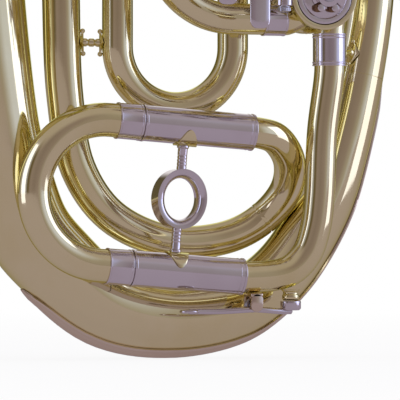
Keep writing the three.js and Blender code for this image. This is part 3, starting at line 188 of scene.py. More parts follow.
class Route:
    """A centreline made of stations."""

    def __init__(self, stations: list) -> None:
        """Keeps the stations and gives them section axes that do not twist.

        Args:
            stations: the stations from start to end.
        """
        self.stations = stations
        first = stations[0].tangent
        guide = UP if abs(first.dot(FRONT)) > STEEP else FRONT
        side = (guide - first * guide.dot(first)).normalized()
        for i, here in enumerate(stations):
            if i:
                side = stations[i - 1].tangent.rotation_difference(here.tangent) @ side
            here.side = side.copy()
            here.across = here.tangent.cross(side)
        self.lengths = [0.0]
        for a, b in zip(stations, stations[1:]):
            self.lengths.append(self.lengths[-1] + (b.point - a.point).length)

    @classmethod
    def smooth(cls, points: Sequence, radii: Sequence, steps: int) -> "Route":
        """A centripetal curve through points.

        Args:
            points: the points in millimetres.
            radii: one radius for each point.
            steps: stations from each point to the next.

        Returns:
            The route.
        """
        points = [Vector(p) for p in points]
        ends = [points[0] * 2 - points[1], *points, points[-1] * 2 - points[-2]]
        out = []
        for i in range(len(points) - 1):
            p = ends[i:i + 4]
            d = [sqrt((p[k + 1] - p[k]).length) for k in range(3)]
            t1 = ((p[1] - p[0]) / d[0] - (p[2] - p[0]) / (d[0] + d[1]) + (p[2] - p[1]) / d[1]) * d[1]
            t2 = ((p[2] - p[1]) / d[1] - (p[3] - p[1]) / (d[1] + d[2]) + (p[3] - p[2]) / d[2]) * d[1]
            c2 = (p[2] - p[1]) * 3 - t1 * 2 - t2
            c3 = (p[1] - p[2]) * 2 + t1 + t2
            last = i == len(points) - 2
            for s in range(steps + (1 if last else 0)):
                t = s / steps
                blend = t * t * (3 - 2 * t) * 0.5 + t * 0.5
                out.append(Station(
                    p[1] + t1 * t + c2 * t * t + c3 * t ** 3,
                    (t1 + c2 * 2 * t + c3 * 3 * t * t).normalized(),
                    radii[i] + (radii[i + 1] - radii[i]) * blend,
                ))
        return cls(out)

    @classmethod
    def bent(cls, corners: Sequence, bends: Sequence, radius: float, step: float = 6) -> "Route":
        """Straight runs with round bends.

        Args:
            corners: the corner points in millimetres.
            bends: a bend radius for each inner corner.
            radius: the tube's radius.
            step: degrees from one station of a bend to the next.

        Returns:
            The route.
        """
        corners = [Vector(c) for c in corners]
        ways = [(b - a).normalized() for a, b in zip(corners, corners[1:])]
        out = [Station(corners[0].copy(), ways[0].copy(), radius)]
        for i, bend in enumerate(bends):
            before, after = ways[i], ways[i + 1]
            turn = before.angle(after)
            axis = before.cross(after).normalized()
            start = corners[i + 1] - before * (bend * tan(turn / 2))
            centre = start + axis.cross(before) * bend
            count = max(2, ceil(degrees(turn) / step))
            for s in range(count + 1):
                spin = Quaternion(axis, turn * s / count)
                point = centre + spin @ (start - centre)
                if (point - out[-1].point).length > SHORTEST:
                    out.append(Station(point, spin @ before, radius))
        if (corners[-1] - out[-1].point).length > SHORTEST:
            out.append(Station(corners[-1].copy(), ways[-1].copy(), radius))
        return cls(out)

    @property
    def length(self) -> float:
        """Length of the whole route."""
        return self.lengths[-1]

    @property
    def whole(self) -> list:
        """Stations from end to end."""
        return self.part(0, self.length)

    def at(self, distance: float) -> Station:
        """The station at a place along the route.

        Args:
            distance: millimetres from the start, or back from the end where it is negative.

        Returns:
            A station between its two neighbours.
        """
        if distance < 0:
            distance += self.length
        distance = min(max(distance, 0.0), self.length)
        i = min(bisect_left(self.lengths, distance, 1), len(self.lengths) - 1) - 1
        share = (distance - self.lengths[i]) / max(self.lengths[i + 1] - self.lengths[i], 1e-6)
        a, b = self.stations[i], self.stations[i + 1]
        return Station(
            a.point.lerp(b.point, share), a.tangent.lerp(b.tangent, share).normalized(),
            a.radius + (b.radius - a.radius) * share,
            a.side.lerp(b.side, share).normalized(), a.across.lerp(b.across, share).normalized())

    def part(self, start: float, end: float) -> list:
        """Stations from one distance to another."""
        inner = [s for s, d in zip(self.stations, self.lengths) if start + SHORTEST < d < end - SHORTEST]
        return [self.at(start), *inner, self.at(end)]

    def nearest(self, point: Vector) -> float:
        """Finds the route's place nearest a point.

        Args:
            point: the point in millimetres.

        Returns:
            The place's distance along the route.
        """
        best, found = inf, 0.0
        for i in range(len(self.stations) - 1):
            a, b = self.stations[i].point, self.stations[i + 1].point
            share = min(max((point - a).dot(b - a) / max((b - a).length_squared, 1e-9), 0), 1)
            gap = (a.lerp(b, share) - point).length
            if gap < best:
                best, found = gap, self.lengths[i] + share * (b - a).length
        return found


def softened(profile: Sequence, size: float, closed: bool = False) -> list:
    """Rounds the corners of a flat polyline.

    Args:
        profile: points as pairs.
        size: how far the rounding reaches along each side, in millimetres.
        closed: whether the last point joins the first.

    Returns:
        The rounded list of pairs.
    """
    points = [Vector(p) for p in profile]
    count = len(points)
    out = []
    for i, here in enumerate(points):
        if not closed and i in (0, count - 1):
            out.append(tuple(here))
            continue
        before, after = points[i - 1], points[(i + 1) % count]
        a, b = before - here, after - here
        if a.length < 1e-6 or b.length < 1e-6 or a.angle(b) > NEARLY_STRAIGHT:
            out.append(tuple(here))
            continue
        reach = min(size, a.length * 0.45, b.length * 0.45)
        start, end = here + a.normalized() * reach, here + b.normalized() * reach
        for t in (0, 0.33, 0.67, 1):
            out.append(tuple((start * (1 - t) + here * t).lerp(here * (1 - t) + end * t, t)))
    return out


class Skin:
    """Collects lofts, turned forms and plates into one mesh, in millimetres."""

    def __init__(self, place: Optional[Matrix] = None) -> None:
        """Starts with no faces.

        Args:
            place: takes the points that are added to the horn's frame, where they need it.
        """
        self.points: list = []
        self.faces: list = []
        self.finishes: list = []
        self.finish = 0
        self.place = place or Matrix.Identity(4)

    def _add(self, points: Iterable) -> int:
        """Adds points.

        Args:
            points: the points in the skin's own frame.

        Returns:
            The number of the first.
        """
        start = len(self.points)
        self.points.extend(self.place @ Vector(p) for p in points)
        return start

    def _face(self, corners: Sequence) -> None:
        """Adds a face in the finish that is in use."""
        self.faces.append(tuple(corners))
        self.finishes.append(self.finish)

    def loft(self, rings: Sequence, closed: bool = False, caps: bool = True) -> None:
        """Skins a list of rings with the same number of points.

        Args:
            rings: lists of points.
            closed: whether the last ring joins the first.
            caps: whether an open loft's ends are filled.
        """
        sides = len(rings[0])
        start = self._add(p for ring in rings for p in ring)
        count = len(rings)
        for r in range(count if closed else count - 1):
            here, there = start + r * sides, start + ((r + 1) % count) * sides
            for i in range(sides):
                j = (i + 1) % sides
                self._face((here + i, here + j, there + j, there + i))
        if caps and not closed:
            self._face([start + i for i in reversed(range(sides))])
            self._face([start + (count - 1) * sides + i for i in range(sides)])

    def tube(self, stations: Sequence, wall: float, sides: int) -> None:
        """A tube along stations, with a wall inside their radii."""
        outer, inner = ([ring_of(s, s.radius - d, s.radius - d, sides) for s in stations] for d in (0, wall))
        self.loft(outer + inner[::-1], closed=True)

    def band(self, route: Route, start: float, profile: Sequence, soft: float = 0.3, sides: int = 40) -> None:
        """A raised band round a tube.

        Args:
            route: the tube's route.
            start: distance along it where the profile's zero lies.
            profile: pairs of distance and height above the tube.
            soft: rounding of the band's corners.
            sides: points round the band.
        """
        rings = []
        for distance, height in softened([(profile[0][0], -0.2), *profile, (profile[-1][0], -0.2)], soft):
            s = route.at(min(max(start + distance, TINY), route.length - TINY))
            rings.append(ring_of(s, s.radius + height, s.radius + height, sides))
        self.loft(rings, caps=False)

    def turned(self, profile: Sequence, origin: Sequence, axis: Vector, sides: int, soft: float,
               closed: bool = False) -> None:
        """A turned form.

        Args:
            profile: pairs of radius and distance along the axis.
            origin: where the axis starts.
            axis: its direction.
            sides: points round it.
            soft: rounding of the profile's corners.
            closed: whether the profile closes on itself, as a ring's does.
        """
        axis = Vector(axis).normalized()
        guide = UP if abs(axis.dot(UP)) < STEEP else RIGHT
        side = (guide - axis * guide.dot(axis)).normalized()
        line = softened(profile, soft, closed) if soft else list(profile)
        rings = []
        for radius, along in line:
            s = Station(Vector(origin) + axis * along, axis, 0, side, axis.cross(side))
            rings.append(ring_of(s, max(radius, 0.01), max(radius, 0.01), sides))
        self.loft(rings, closed=closed)

    def rod(self, start: Sequence, end: Sequence, radius: float, sides: int) -> None:
        """A round rod between two points."""
        axis = Vector(end) - Vector(start)
        self.turned(peg(radius, axis.length), start, axis, sides, 0.2)

    def ball(self, centre: Sequence, radius: float) -> None:
        """A round ball."""
        rows = [(radius * sin(pi * i / 10), -radius * cos(pi * i / 10)) for i in range(11)]
        self.turned(rows, centre, UP, 20, 0)

    def bar(self, stations: Sequence, depth: float, height: float, sides: int) -> None:
        """A bar of oval section with rounded ends.

        Args:
            stations: its centreline.
            depth: its size along each station's side.
            height: its size across that.
            sides: points round it.
        """
        swell, share = min(depth, height) * 0.18, 0.3
        rings = [ring_of(s, depth / 2, height / 2, sides) for s in stations]
        for s, way in ((stations[0], -1), (stations[-1], 1)):
            cap = Station(s.point + s.tangent * (way * swell), s.tangent, 0, s.side, s.across)
            rings.insert(0 if way < 0 else len(rings), ring_of(cap, depth * share, height * share, sides))
        self.loft(rings)

    def plate(self, outline: Sequence, thickness: float, place: Matrix, bevel: float) -> None:
        """A flat plate with rounded edges, standing on its outline's plane.

        Args:
            outline: pairs in the plate's own plane.
            thickness: along the plane's normal.
            place: takes the plate's plane to its place.
            bevel: size of the rounded edge.
        """
        flat = [Vector(p) for p in outline]
        area = sum(a.x * b.y - b.x * a.y for a, b in zip(flat, flat[1:] + flat[:1]))
        if area < 0:
            flat.reverse()
        inward = []
        for before, after in zip(flat[-1:] + flat[:-1], flat[1:] + flat[:1]):
            way = (after - before).normalized()
            inward.append(Vector((-way.y, way.x)))
        rows = [(bevel, 0), (bevel * 0.3, bevel * 0.3), (0, bevel), (0, thickness - bevel),
                (bevel * 0.3, thickness - bevel * 0.3), (bevel, thickness)]
        rings = [[place @ Vector((*(p + n * inset), height)) for p, n in zip(flat, inward)]
                 for inset, height in rows]
        self.loft(rings)

    def slotted_head(self, centre: Vector, axis: Vector, radius: float, height: float) -> None:
        """A screw head with a slot.

        Args:
            centre: where its underside's middle is.
            axis: the way that it faces.
            radius: its radius.
            height: its height.
        """
        axis = axis.normalized()
        self.turned(peg(radius, height * 0.55), centre, axis, 28, 0.2)
        basis = axis.to_track_quat("Z", "Y").to_matrix().to_4x4()
        seat = Matrix.Translation(centre + axis * height * 0.5) @ basis
        arc = [on_circle(radius * 0.97, radians(12 + 156 * k / 14)) for k in range(15)]
        for turn in (0, pi):
            self.plate(arc, height * 0.5, seat @ Matrix.Rotation(turn, 4, "Z"), 0.12)

    def make(self, name: str, finishes: Sequence, materials: dict) -> bpy.types.Object:
        """Makes the Blender object.

        Args:
            name: the object's name.
            finishes: the finishes that finish numbers.
            materials: the material of each finish.

        Returns:
            The object, in metres and at the origin.
        """
        mesh = bpy.data.meshes.new(name)
        mesh.from_pydata([tuple(p * MM) for p in self.points], [], self.faces)
        for finish in finishes:
            mesh.materials.append(materials[finish])
        mesh.polygons.foreach_set("material_index", self.finishes)
        mesh.polygons.foreach_set("use_smooth", [True] * len(mesh.polygons))
        mesh.validate()
        mesh.set_sharp_from_angle(angle=SHARP_EDGE)
        return linked(name, mesh)


def linked(name: str, data: bpy.types.ID) -> bpy.types.Object:
    """Makes an object of some data and puts it in the scene.

    Args:
        name: the object's name.
        data: its mesh, lamp or camera.

    Returns:
        The object.
    """
    obj = bpy.data.objects.new(name, data)
    bpy.context.scene.collection.objects.link(obj)
    return obj


def on_circle(radius: float, angle: float) -> tuple:
    """A point of a circle about zero."""
    return radius * cos(angle), radius * sin(angle)


def peg(radius: float, length: float) -> list:
    """Profile of a plain round peg."""
    return [(0, 0), (radius, 0), (radius, length), (0, length)]


def ring_of(s: Station, side: float, across: float, sides: int) -> list:
    """Points round a station, at one radius along its side and another across it."""
    turns = [TAU * i / sides for i in range(sides)]
    return [s.point + s.side * (side * cos(a)) + s.across * (across * sin(a)) for a in turns]


def axes_at(point: Sequence, x: Sequence, y: Sequence, z: Sequence) -> Matrix:
    """A placing matrix from a point and three axes."""
    return Matrix.Translation(point) @ Matrix((x, y, z)).transposed().to_4x4()


def facing_front(y: float) -> Matrix:
    """Takes a plate's plane to X and Z, with its normal towards the front, from y forwards."""
    return axes_at((0, y, 0), (1, 0, 0), (0, 0, 1), (0, -1, 0))


def facing_up(z: float) -> Matrix:
    """Takes a plate's plane to X and Y, standing on z."""
    return Matrix.Translation((0, 0, z))


def link_outline(a: Sequence, ra: float, b: Sequence, rb: float, steps: int = 14) -> list:
    """Outline of a link with two round ends.

    Args:
        a: centre of one end.
        ra: its radius.
        b: centre of the other end.
        rb: its radius.
        steps: points from one side of an end to the other, less one.

    Returns:
        The outline as pairs.
    """
    heading = atan2(b[1] - a[1], b[0] - a[0])
    out = []
    for centre, radius, turn in ((a, ra, pi / 2), (b, rb, -pi / 2)):
        for i in range(steps + 1):
            angle = heading + turn + pi * i / steps
            out.append((centre[0] + radius * cos(angle), centre[1] + radius * sin(angle)))
    return out


@dataclass
class Section:
    """A group of pieces that belong together. Each piece stands for one node of the solids."""

    materials: dict
    pieces: list = field(default_factory=list, init=False)

    def dress(self, node: str, skin: Skin, *finishes: Finish) -> None:
        """Puts a finished piece in the place of a node.

        Args:
            node: the node that the piece stands for.
            skin: the piece's mesh.
            finishes: its finishes, the first being the record's slot.
        """
        obj = skin.make(f"{node}_piece", finishes, self.materials)
        body = next(name for name, nodes in frame["record"]["behaviour"]["bodies"].items() if node in nodes)
        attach(obj, body)
        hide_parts(node)
        finishes[0].slot
        self.pieces.append((obj.name, body))

    def build(self) -> None:
        """Makes the section's pieces."""
        raise NotImplementedError


# Rows of the bore as in the solids: shares of width, front offset and height, then growth
BELL = [
    (-0.535, 0, 1.5066, 1), (-0.535, 0, 1.492, 0.9583), (-0.535, 0, 1.4629, 0.854),
    (-0.535, 0, 1.4216, 0.7237), (-0.535, 0, 1.3731, 0.5933), (-0.535, 0, 1.3124, 0.4682),
    (-0.535, 0, 1.2396, 0.3587), (-0.535, 0, 1.1546, 0.2701), (-0.535, 0, 1.0454, 0.195),
    (-0.533, 0, 0.88, 0.12), (-0.5245, 0, 0.72, 0.067), (-0.507, 0, 0.56, 0.028),
]
BORE = [
    (-0.486, 0, 0.4386, 1.561), (-0.471, 0, 0.3706, 1.458), (-0.426, 0, 0.2201, 1.299),
    (-0.3925, 0, 0.1619, 1.271), (-0.345, 0, 0.1036, 1.252), (-0.278, 0, 0.0658, 1.215),
    (-0.1525, 0, 0.0163, 1.14), (0, 0, 0, 1), (0.156, 0, 0.01, 0.897), (0.236, 0, 0.0303, 0.804),
    (0.313, 0, 0.0655, 0.71), (0.3975, 0, 0.1318, 0.645), (0.446, 0, 0.1993, 0.57),
    (0.4915, 0, 0.2857, 0.449),
    (0.521, 0, 0.3706, 0.374), (0.535, 0, 0.4871, 0.327), (0.535, 0, 0.6085, 0.299),
    (0.52, 0, 0.7299, 0.28), (0.47, 0, 0.8391, 0.262), (0.37, 0, 0.9289, 0.252),
    (0.26, 0, 0.9823, 0.243), (0.14, 0, 1, 0.234), (0, 0, 0.9823, 0.224), (-0.12, 0, 0.9289, 0.215),
    (-0.2, 0, 0.8512, 0.196), (-0.245, 0, 0.7541, 0.187), (-0.2575, 0, 0.657, 0.178),
    (-0.2625, 0, 0.5114, 0.168), (-0.2625, 0, 0.3706, 0.159), (-0.252, 0, 0.2541, 0.136),
    (-0.22, 0, 0.174, 0.112), (-0.139, 0, 0.1197, 0.089), (0, 0, 0.09, 0.065), (0.149, 0, 0.0939, 0.056),
    (0.24, -0.0484, 0.1158, 0.051), (0.2875, -0.2903, 0.1488, 0.047), (0.2825, -0.5806, 0.1813, 0.037),
    (0.2325, -0.8871, 0.208, 0.028),
]
EXIT = [
    (0.361, -1, 0.285), (0.343, -1, 0.2177), (0.3345, -1, 0.1376), (0.3245, -1, 0.1036),
    (0.302, -1, 0.0745), (0.2575, -1, 0.0551),
]
LEADPIPE = [
    (0.361, -1, 0.7541), (0.33, -1.0645, 0.8391), (0.22, -1.2581, 0.9143), (0.04, -1.4839, 0.9532),
    (-0.2, -1.7097, 0.9823), (-0.4, -1.8387, 1.009), (-0.59, -1.7581, 1.0308), (-0.735, -1.1935, 1.0502),
    (-0.805, -0.129, 1.0672), (-0.765, 1, 1.0818), (-0.66, 1.9355, 1.0964),
]
# First and last row of each piece of the bore, and the points round it
SEAMS = {"bell": (0, 12, 96), "bottom_bow": (12, 25, 56), "right_branch": (25, 29, 44),
         "top_bow": (29, 39, 44), "inner_branch": (39, 46, 44), "return_crook": (46, 51, 44)}

SLIDE_CENTRE = S.oval(-0.0125, -1, 0.1383)
SLEEVE_RIGHT = S.sleeve * 0.6
SLEEVE_LEFT = SLEEVE_RIGHT - S.sleeve
UPPER, LOWER = S.leg_spacing / 2, -S.leg_spacing / 2
SLIDE_FRAME = Matrix.Translation(SLIDE_CENTRE) @ Matrix.Rotation(S.tilt, 4, "Y")


def slide_point(u: float, height: float) -> Vector:
    """A point of the main slide's middle plane, in the horn's frame."""
    return SLIDE_FRAME @ Vector((u, 0, height))


def grown(share: float) -> float:
    """Radius of a tube that has grown by a share from the slide's to the bow's."""
    return S.tube + share * (S.bow - S.tube)


def bore_route() -> tuple:
    """The whole conical bore.

    Returns:
        The route, and the distance along it of each row.
    """
    throat = grown(BORE[0][3])
    rows = BELL + BORE
    points = [S.oval(*row[:3]) for row in rows]
    points += [slide_point(SLEEVE_RIGHT + S.tube / 2, UPPER), slide_point(SLEEVE_RIGHT - 6, UPPER)]
    radii = [throat + row[3] * (S.rim - throat) for row in BELL] + [grown(row[3]) for row in BORE]
    radii += [S.tube, S.tube]
    steps = 8
    route = Route.smooth(points, radii, steps)
    smooth_radii(route, radii, steps)
    return route, [route.lengths[i * steps] for i in range(len(points))]


def smooth_radii(route: Route, radii: Sequence, steps: int) -> None:
    """Makes the bore's radii follow a smooth curve through their rows instead of straight runs.

    Args:
        route: the bore, whose stations get the radii.
        radii: the radius of each row.
        steps: stations from one row to the next.
    """
    last = len(radii) - 1
    for i, s in enumerate(route.stations[:-1]):
        k, t = divmod(i, steps)
        t /= steps
        a, b = radii[k], radii[k + 1]
        before, after = radii[max(k - 1, 0)], radii[min(k + 2, last)]
        x = [route.lengths[min(max(j, 0), last) * steps] for j in (k - 1, k, k + 1, k + 2)]
        span = x[2] - x[1]
        slope_a = (b - before) / (x[2] - x[0]) * span
        slope_b = (after - a) / (x[3] - x[1]) * span
        s.radius = (a * (2 * t ** 3 - 3 * t * t + 1) + slope_a * (t ** 3 - 2 * t * t + t)
                    + b * (3 * t * t - 2 * t ** 3) + slope_b * (t ** 3 - t * t))


BORE_ROUTE, ROWS = bore_route()


def stretch(piece: str) -> tuple:
    """Distances along the bore where one of its pieces starts and ends."""
    return ROWS[SEAMS[piece][0]], ROWS[SEAMS[piece][1]]


@dataclass
class BoreSection(Section):
    """The conical tubes from the bell to the crook, and the guard on the bottom bow."""

    wall: float = 0.8
    roll: float = 1.5
    seam: float = 0.12
    seam_length: float = 2.2
    joint: tuple = (0.55, 1.9)
    mouth_gap: float = 0.02
    lip: float = 0.4
    guard_half: float = radians(37)
    guard_first: int = 16
    guard_skip: int = 7
    guard_shares: tuple = (0.1, 0.5, 0.85, 1, 1, 0.9, 0.7, 0.55, 0.45, 0.12)
    guard_thin: float = 0.12
    guard_bed: float = 0.1
    border: float = 0.35
    border_place: tuple = (0.05, 0.035)

    def build(self) -> None:
        """Makes one piece for each stretch of the bore."""
        for name, (start, end, sides) in SEAMS.items():
            skin = Skin()
            a = ROWS[start] + (S.gap if start else self.mouth_gap)
            b = ROWS[end] - (S.gap if end < len(ROWS) - 1 else 0)
            stations = BORE_ROUTE.part(a, b)
            skin.tube(stations, self.wall, sides)
            if name == "bell":
                self.rim(skin, stations[0])
                count = len(stations)
                skin.finishes[count * sides:(2 * count - 1) * sides] = [1] * ((count - 1) * sides)
            if start:
                depth, length = self.joint
                skin.band(BORE_ROUTE, a - S.gap - length / 2, [(0, -depth), (length, -depth)], 0.04, sides)
            if name in ("inner_branch", "return_crook"):
                skin.band(BORE_ROUTE, a, [(0.1, self.seam), (self.seam_length, self.seam)], 0.1, sides)
            self.dress(name, skin, *((Finish.BRASS, Finish.THROAT) if name == "bell" else (Finish.BRASS,)))
        self.guard()

    def rim(self, skin: Skin, end: Station) -> None:
        """A rolled rim round the bell's mouth, inside the flat top of the solids.

        Args:
            skin: the bell's mesh.
            end: the station at the mouth.
        """
        roll = self.roll
        profile = [(end.radius - self.lip + roll * cos(TAU * i / 12), roll * sin(TAU * i / 12))
                   for i in range(12)]
        skin.turned(profile, end.point - UP * (roll + 0.03), UP, 96, 0, closed=True)

    def guard(self) -> None:
        """The nickel guard: a strip with beaded borders, pointed at its ends."""
        shares, steps, across = self.guard_shares, 8, 24
        middle, spread = self.border_place
        last = (len(shares) - 1) * steps
        rows = []
        for i in range(self.guard_skip, last + 1):
            k, t = divmod(i, steps)
            k2 = min(k + 1, len(shares) - 1)
            t /= steps
            a, b = ROWS[self.guard_first + k], ROWS[self.guard_first + k2]
            s = BORE_ROUTE.at(a + (b - a) * t)
            done = i - self.guard_skip
            point = min(1, sqrt((done + 0.5) / 4))
            taper = min(1, (done + 1) / 3, (last - i + 1) / 4)
            half = self.guard_half * (shares[k] + (shares[k2] - shares[k]) * t) * point
            outside = s.tangent.cross(FRONT).normalized()
            if outside.dot(s.point - S.oval(0, 0, 0.5)) < 0:
                outside.negate()
            outer, inner = [], []
            for j in range(across + 1):
                angle = -half + 2 * half * j / across
                edge = min(j, across - j) / across
                bead = self.border * exp(-((edge - middle) / spread) ** 2)
                lift = S.guard * (0.55 if edge == 0 else 0.85) + bead
                way = outside * cos(angle) + FRONT * sin(angle)
                height = (S.guard_gap * 0.6 + lift) * taper + self.guard_thin * (1 - taper)
                outer.append(s.point + way * (s.radius + height))
                inner.append(s.point + way * (s.radius + self.guard_bed))
            ring = outer + inner[::-1]
            for p in ring:
                p.z = max(p.z, FLOOR_GAP)
            rows.append(ring)
        skin = Skin()
        skin.loft(rows)
        self.dress("bow_guard", skin, Finish.GUARD)


@dataclass
class MainSlideSection(Section):
    """The main tuning slide with its sleeves and ring brace."""

    sleeve_wall: float = 0.9
    end_ring: float = 0.3
    bend_wall: float = 0.75
    leg: float = 46
    ferrule_lift: float = 1.1
    ferrule_bead: float = 1.32
    ring_width: float = 24.4
    ring_height: float = 28.4
    ring_depth: float = 11
    ring_band: float = 4.4
    ring_edge: float = 1.2
    ring_offset: float = -0.8
    rod: float = 2.35
    groove: float = 0.16
    grooves: tuple = (1.3, 2.9, 4.5, 6.1)
    saddle_half: float = 5.8
    saddle_shift: float = 0.8
    saddle_wrap: float = radians(78)
    saddle_thickness: float = 0.7

    def build(self) -> None:
        """Makes the sleeves, the sliding bow and the brace."""
        for name, height in (("upper", UPPER), ("lower", LOWER)):
            skin = Skin()
            route = Route.bent([slide_point(SLEEVE_LEFT, height), slide_point(SLEEVE_RIGHT, height)], [],
                               S.sleeve_outer)
            skin.tube(route.whole, self.sleeve_wall, 48)
            for start in (0.05, route.length - 1.25):
                skin.band(route, start, [(0, self.end_ring), (1.2, self.end_ring)], 0.3, 48)
            skin.band(route, route.length - 3.2, [(0, 0.14), (0.5, 0.14)], 0.15, 48)
            self.dress(f"main_sleeve_{name}", skin, Finish.NICKEL)
        self.bow()
        self.brace()

    def bow(self) -> None:
        """The sliding bow: two nickel inner legs, two beaded ferrules and the brass bend."""
        ferrule_end = SLEEVE_LEFT - 0.3
        bow_end = ferrule_end - S.ferrule
        corner = bow_end - 3.3 - UPPER
        skin = Skin()
        route = Route.bent([slide_point(bow_end + 1, UPPER), slide_point(corner, UPPER),
                            slide_point(corner, LOWER), slide_point(bow_end + 1, LOWER)],
                           [UPPER, UPPER], S.slide_bow, 4)
        skin.tube(route.whole, self.bend_wall, 48)
        skin.finish = 1
        low, high, size = self.ferrule_lift, self.ferrule_bead, S.ferrule
        for height in (UPPER, LOWER):
            leg = Route.bent([slide_point(bow_end, height), slide_point(ferrule_end + self.leg, height)], [],
                             S.tube)
            skin.tube(leg.part(size * 0.5, leg.length), self.bend_wall, 44)
            skin.band(leg, 0, [(0.05, high), (0.8, high), (0.85, low), (size - 1.2, low), (size - 1.15, high),
                               (size - 0.1, high)], 0.2, 48)
        self.dress("main_slide_bow", skin, Finish.BRASS, Finish.NICKEL)

    def brace(self) -> None:
        """The oval finger ring on two grooved rods, with a diamond saddle on each sleeve."""
        skin = Skin(SLIDE_FRAME)
        offset, depth, band = self.ring_offset, self.ring_depth, self.ring_band
        wide, tall = self.ring_width / 2, self.ring_height / 2
        rings = []
        section = [(0, -depth / 2), (0, depth / 2)]
        for angle in (pi * k / 16 for k in range(17)):
            section.append((self.ring_edge + (band - self.ring_edge) * sin(angle), depth / 2 * cos(angle)))
        for i in range(72):
            angle = TAU * i / 72
            c, s = cos(angle), sin(angle)
            rings.append([(offset + (wide - inset) * c, y, (tall - inset) * s) for inset, y in section])
        skin.loft(rings, closed=True)
        reach = UPPER - S.sleeve_outer - self.saddle_thickness + 0.2 - tall
        r, cut = self.rod, self.rod - self.groove
        for way in (1, -1):
            profile = [(0, -band / 2), (r, -band / 2)]
            for start in self.grooves:
                profile += [(r, start), (cut, start + 0.12), (cut, start + 0.42), (r, start + 0.54)]
            profile += [(r, reach - 1.5), (r + 0.5, reach - 1.1), (r + 0.5, reach), (0, reach)]
            skin.turned(profile, (offset, 0, way * tall), UP * way, 32, 0.12)
        skin.finish = 1
        for way in (1, -1):
            self.saddle(skin, way)
        self.dress("ring_brace", skin, Finish.NICKEL, Finish.BRASS)

    def saddle(self, skin: Skin, way: int) -> None:
        """Adds a diamond plate bent round a sleeve.

        Args:
            skin: the brace's mesh, in the slide's own frame.
            way: 1 for the upper sleeve, -1 for the lower one.
        """
        rows = []
        across = self.saddle_half
        inner = S.sleeve_outer + 0.1
        outer = inner + self.saddle_thickness
        for i in range(33):
            x = -across + 2 * across * i / 32
            half = max(self.saddle_wrap * (1 - (abs(x) / across) ** 2), radians(2))
            ring = []
            for radius, angles in ((outer, range(25)), (inner, range(24, -1, -1))):
                for k in angles:
                    angle = -half + 2 * half * k / 24
                    r = radius - (CORNER_DIP if radius == outer and (k in (0, 24) or i in (0, 32)) else 0)
                    ring.append(Vector((self.ring_offset + self.saddle_shift + x, r * sin(angle),
                                        way * (UPPER - r * cos(angle)))))
            rows.append(ring)
        skin.loft(rows)


# A stay's flange: its size round and along the tube, its thickness and its lift off the tube
FLANGE = (8, 12, 1.1, 0.3)
STAY_SEAT = 0.85
STAY_RADIUS = 2.0


def bent_diamond(skin: Skin, s: Station, side: Vector, slope: float, balls: float = 0) -> None:
    """A diamond flange that follows a tube's surface.

    Args:
        skin: the mesh it is added to.
        s: the tube's station under it.
        side: the way it faces.
        slope: how fast the tube widens along its way.
        balls: radius of a rivet at each tip, or 0.
    """
    width, height, thickness, lift = FLANGE
    along, cross = s.tangent, s.tangent.cross(side)
    rows = []
    for i in range(25):
        x = -height / 2 + height * i / 24
        share = 1 - abs(x) / (height / 2)
        half = max(share ** 0.9 * width / 2 / (s.radius + lift), 0.06)
        base = s.radius + slope * x + lift
        ring = []
        for radius, order in ((base + thickness, range(13)), (base, range(12, -1, -1))):
            for k in order:
                angle = -half + 2 * half * k / 12
                r = radius - (CORNER_DIP if radius > base and (k in (0, 12) or share < 0.03) else 0)
                ring.append(s.point + along * x + side * (r * cos(angle)) + cross * (r * sin(angle)))
        rows.append(ring)
    skin.loft(rows)
    if balls:
        for way in (1, -1):
            x = way * (height / 2 - balls * 0.5)
            skin.ball(s.point + along * x + side * (s.radius + slope * x + lift + thickness * 0.6), balls)


def stay(skin: Skin, ends: Sequence, flanges: Sequence, balls: float) -> None:
    """A turned stay between two tubes.

    Args:
        skin: the mesh it is added to.
        ends: for each end, its station and how fast the tube widens there.
        flanges: whether each end has a flange.
        balls: radius of the flanges' rivets, or 0.
    """
    sides = []
    for (s, _), (other, _) in (ends, reversed(ends)):
        way = other.point - s.point
        sides.append((way - s.tangent * way.dot(s.tangent)).normalized())
    tips = [s.point + side * (s.radius + STAY_SEAT) for (s, _), side in zip(ends, sides)]
    axis = tips[1] - tips[0]
    length = axis.length
    radius, neck, collar = STAY_RADIUS, STAY_RADIUS * 0.72, min(1.6, length * 0.2)
    skin.turned([(0, 0), (radius, 0), (radius, collar), (neck, collar * 1.6), (neck, length / 2 - collar),
                 (radius, length / 2 - collar * 0.6), (radius, length / 2 + collar * 0.6),
                 (neck, length / 2 + collar), (neck, length - collar * 1.6), (radius, length - collar),
                 (radius, length), (0, length)], tips[0], axis, 28, 0.25)
    for (s, slope), side, wanted in zip(ends, sides, flanges):
        if wanted:
            bent_diamond(skin, s, side, slope, balls)


def station_near(route: Route, point: Vector, start: float = 0, end: float = inf) -> tuple:
    """Finds where a stretch of a tube comes nearest a point.

    Args:
        route: the tube's route.
        point: the point in millimetres.
        start: where the stretch starts.
        end: where it ends.

    Returns:
        The station, and how fast the tube widens there.
    """
    stations = route.part(start, min(end, route.length))
    part = Route([Station(s.point, s.tangent, s.radius) for s in stations])
    distance = part.nearest(point)
    a, b = part.at(max(distance - 2, TINY)), part.at(min(distance + 2, part.length - TINY))
    return part.at(distance), (b.radius - a.radius) / (b.point - a.point).length


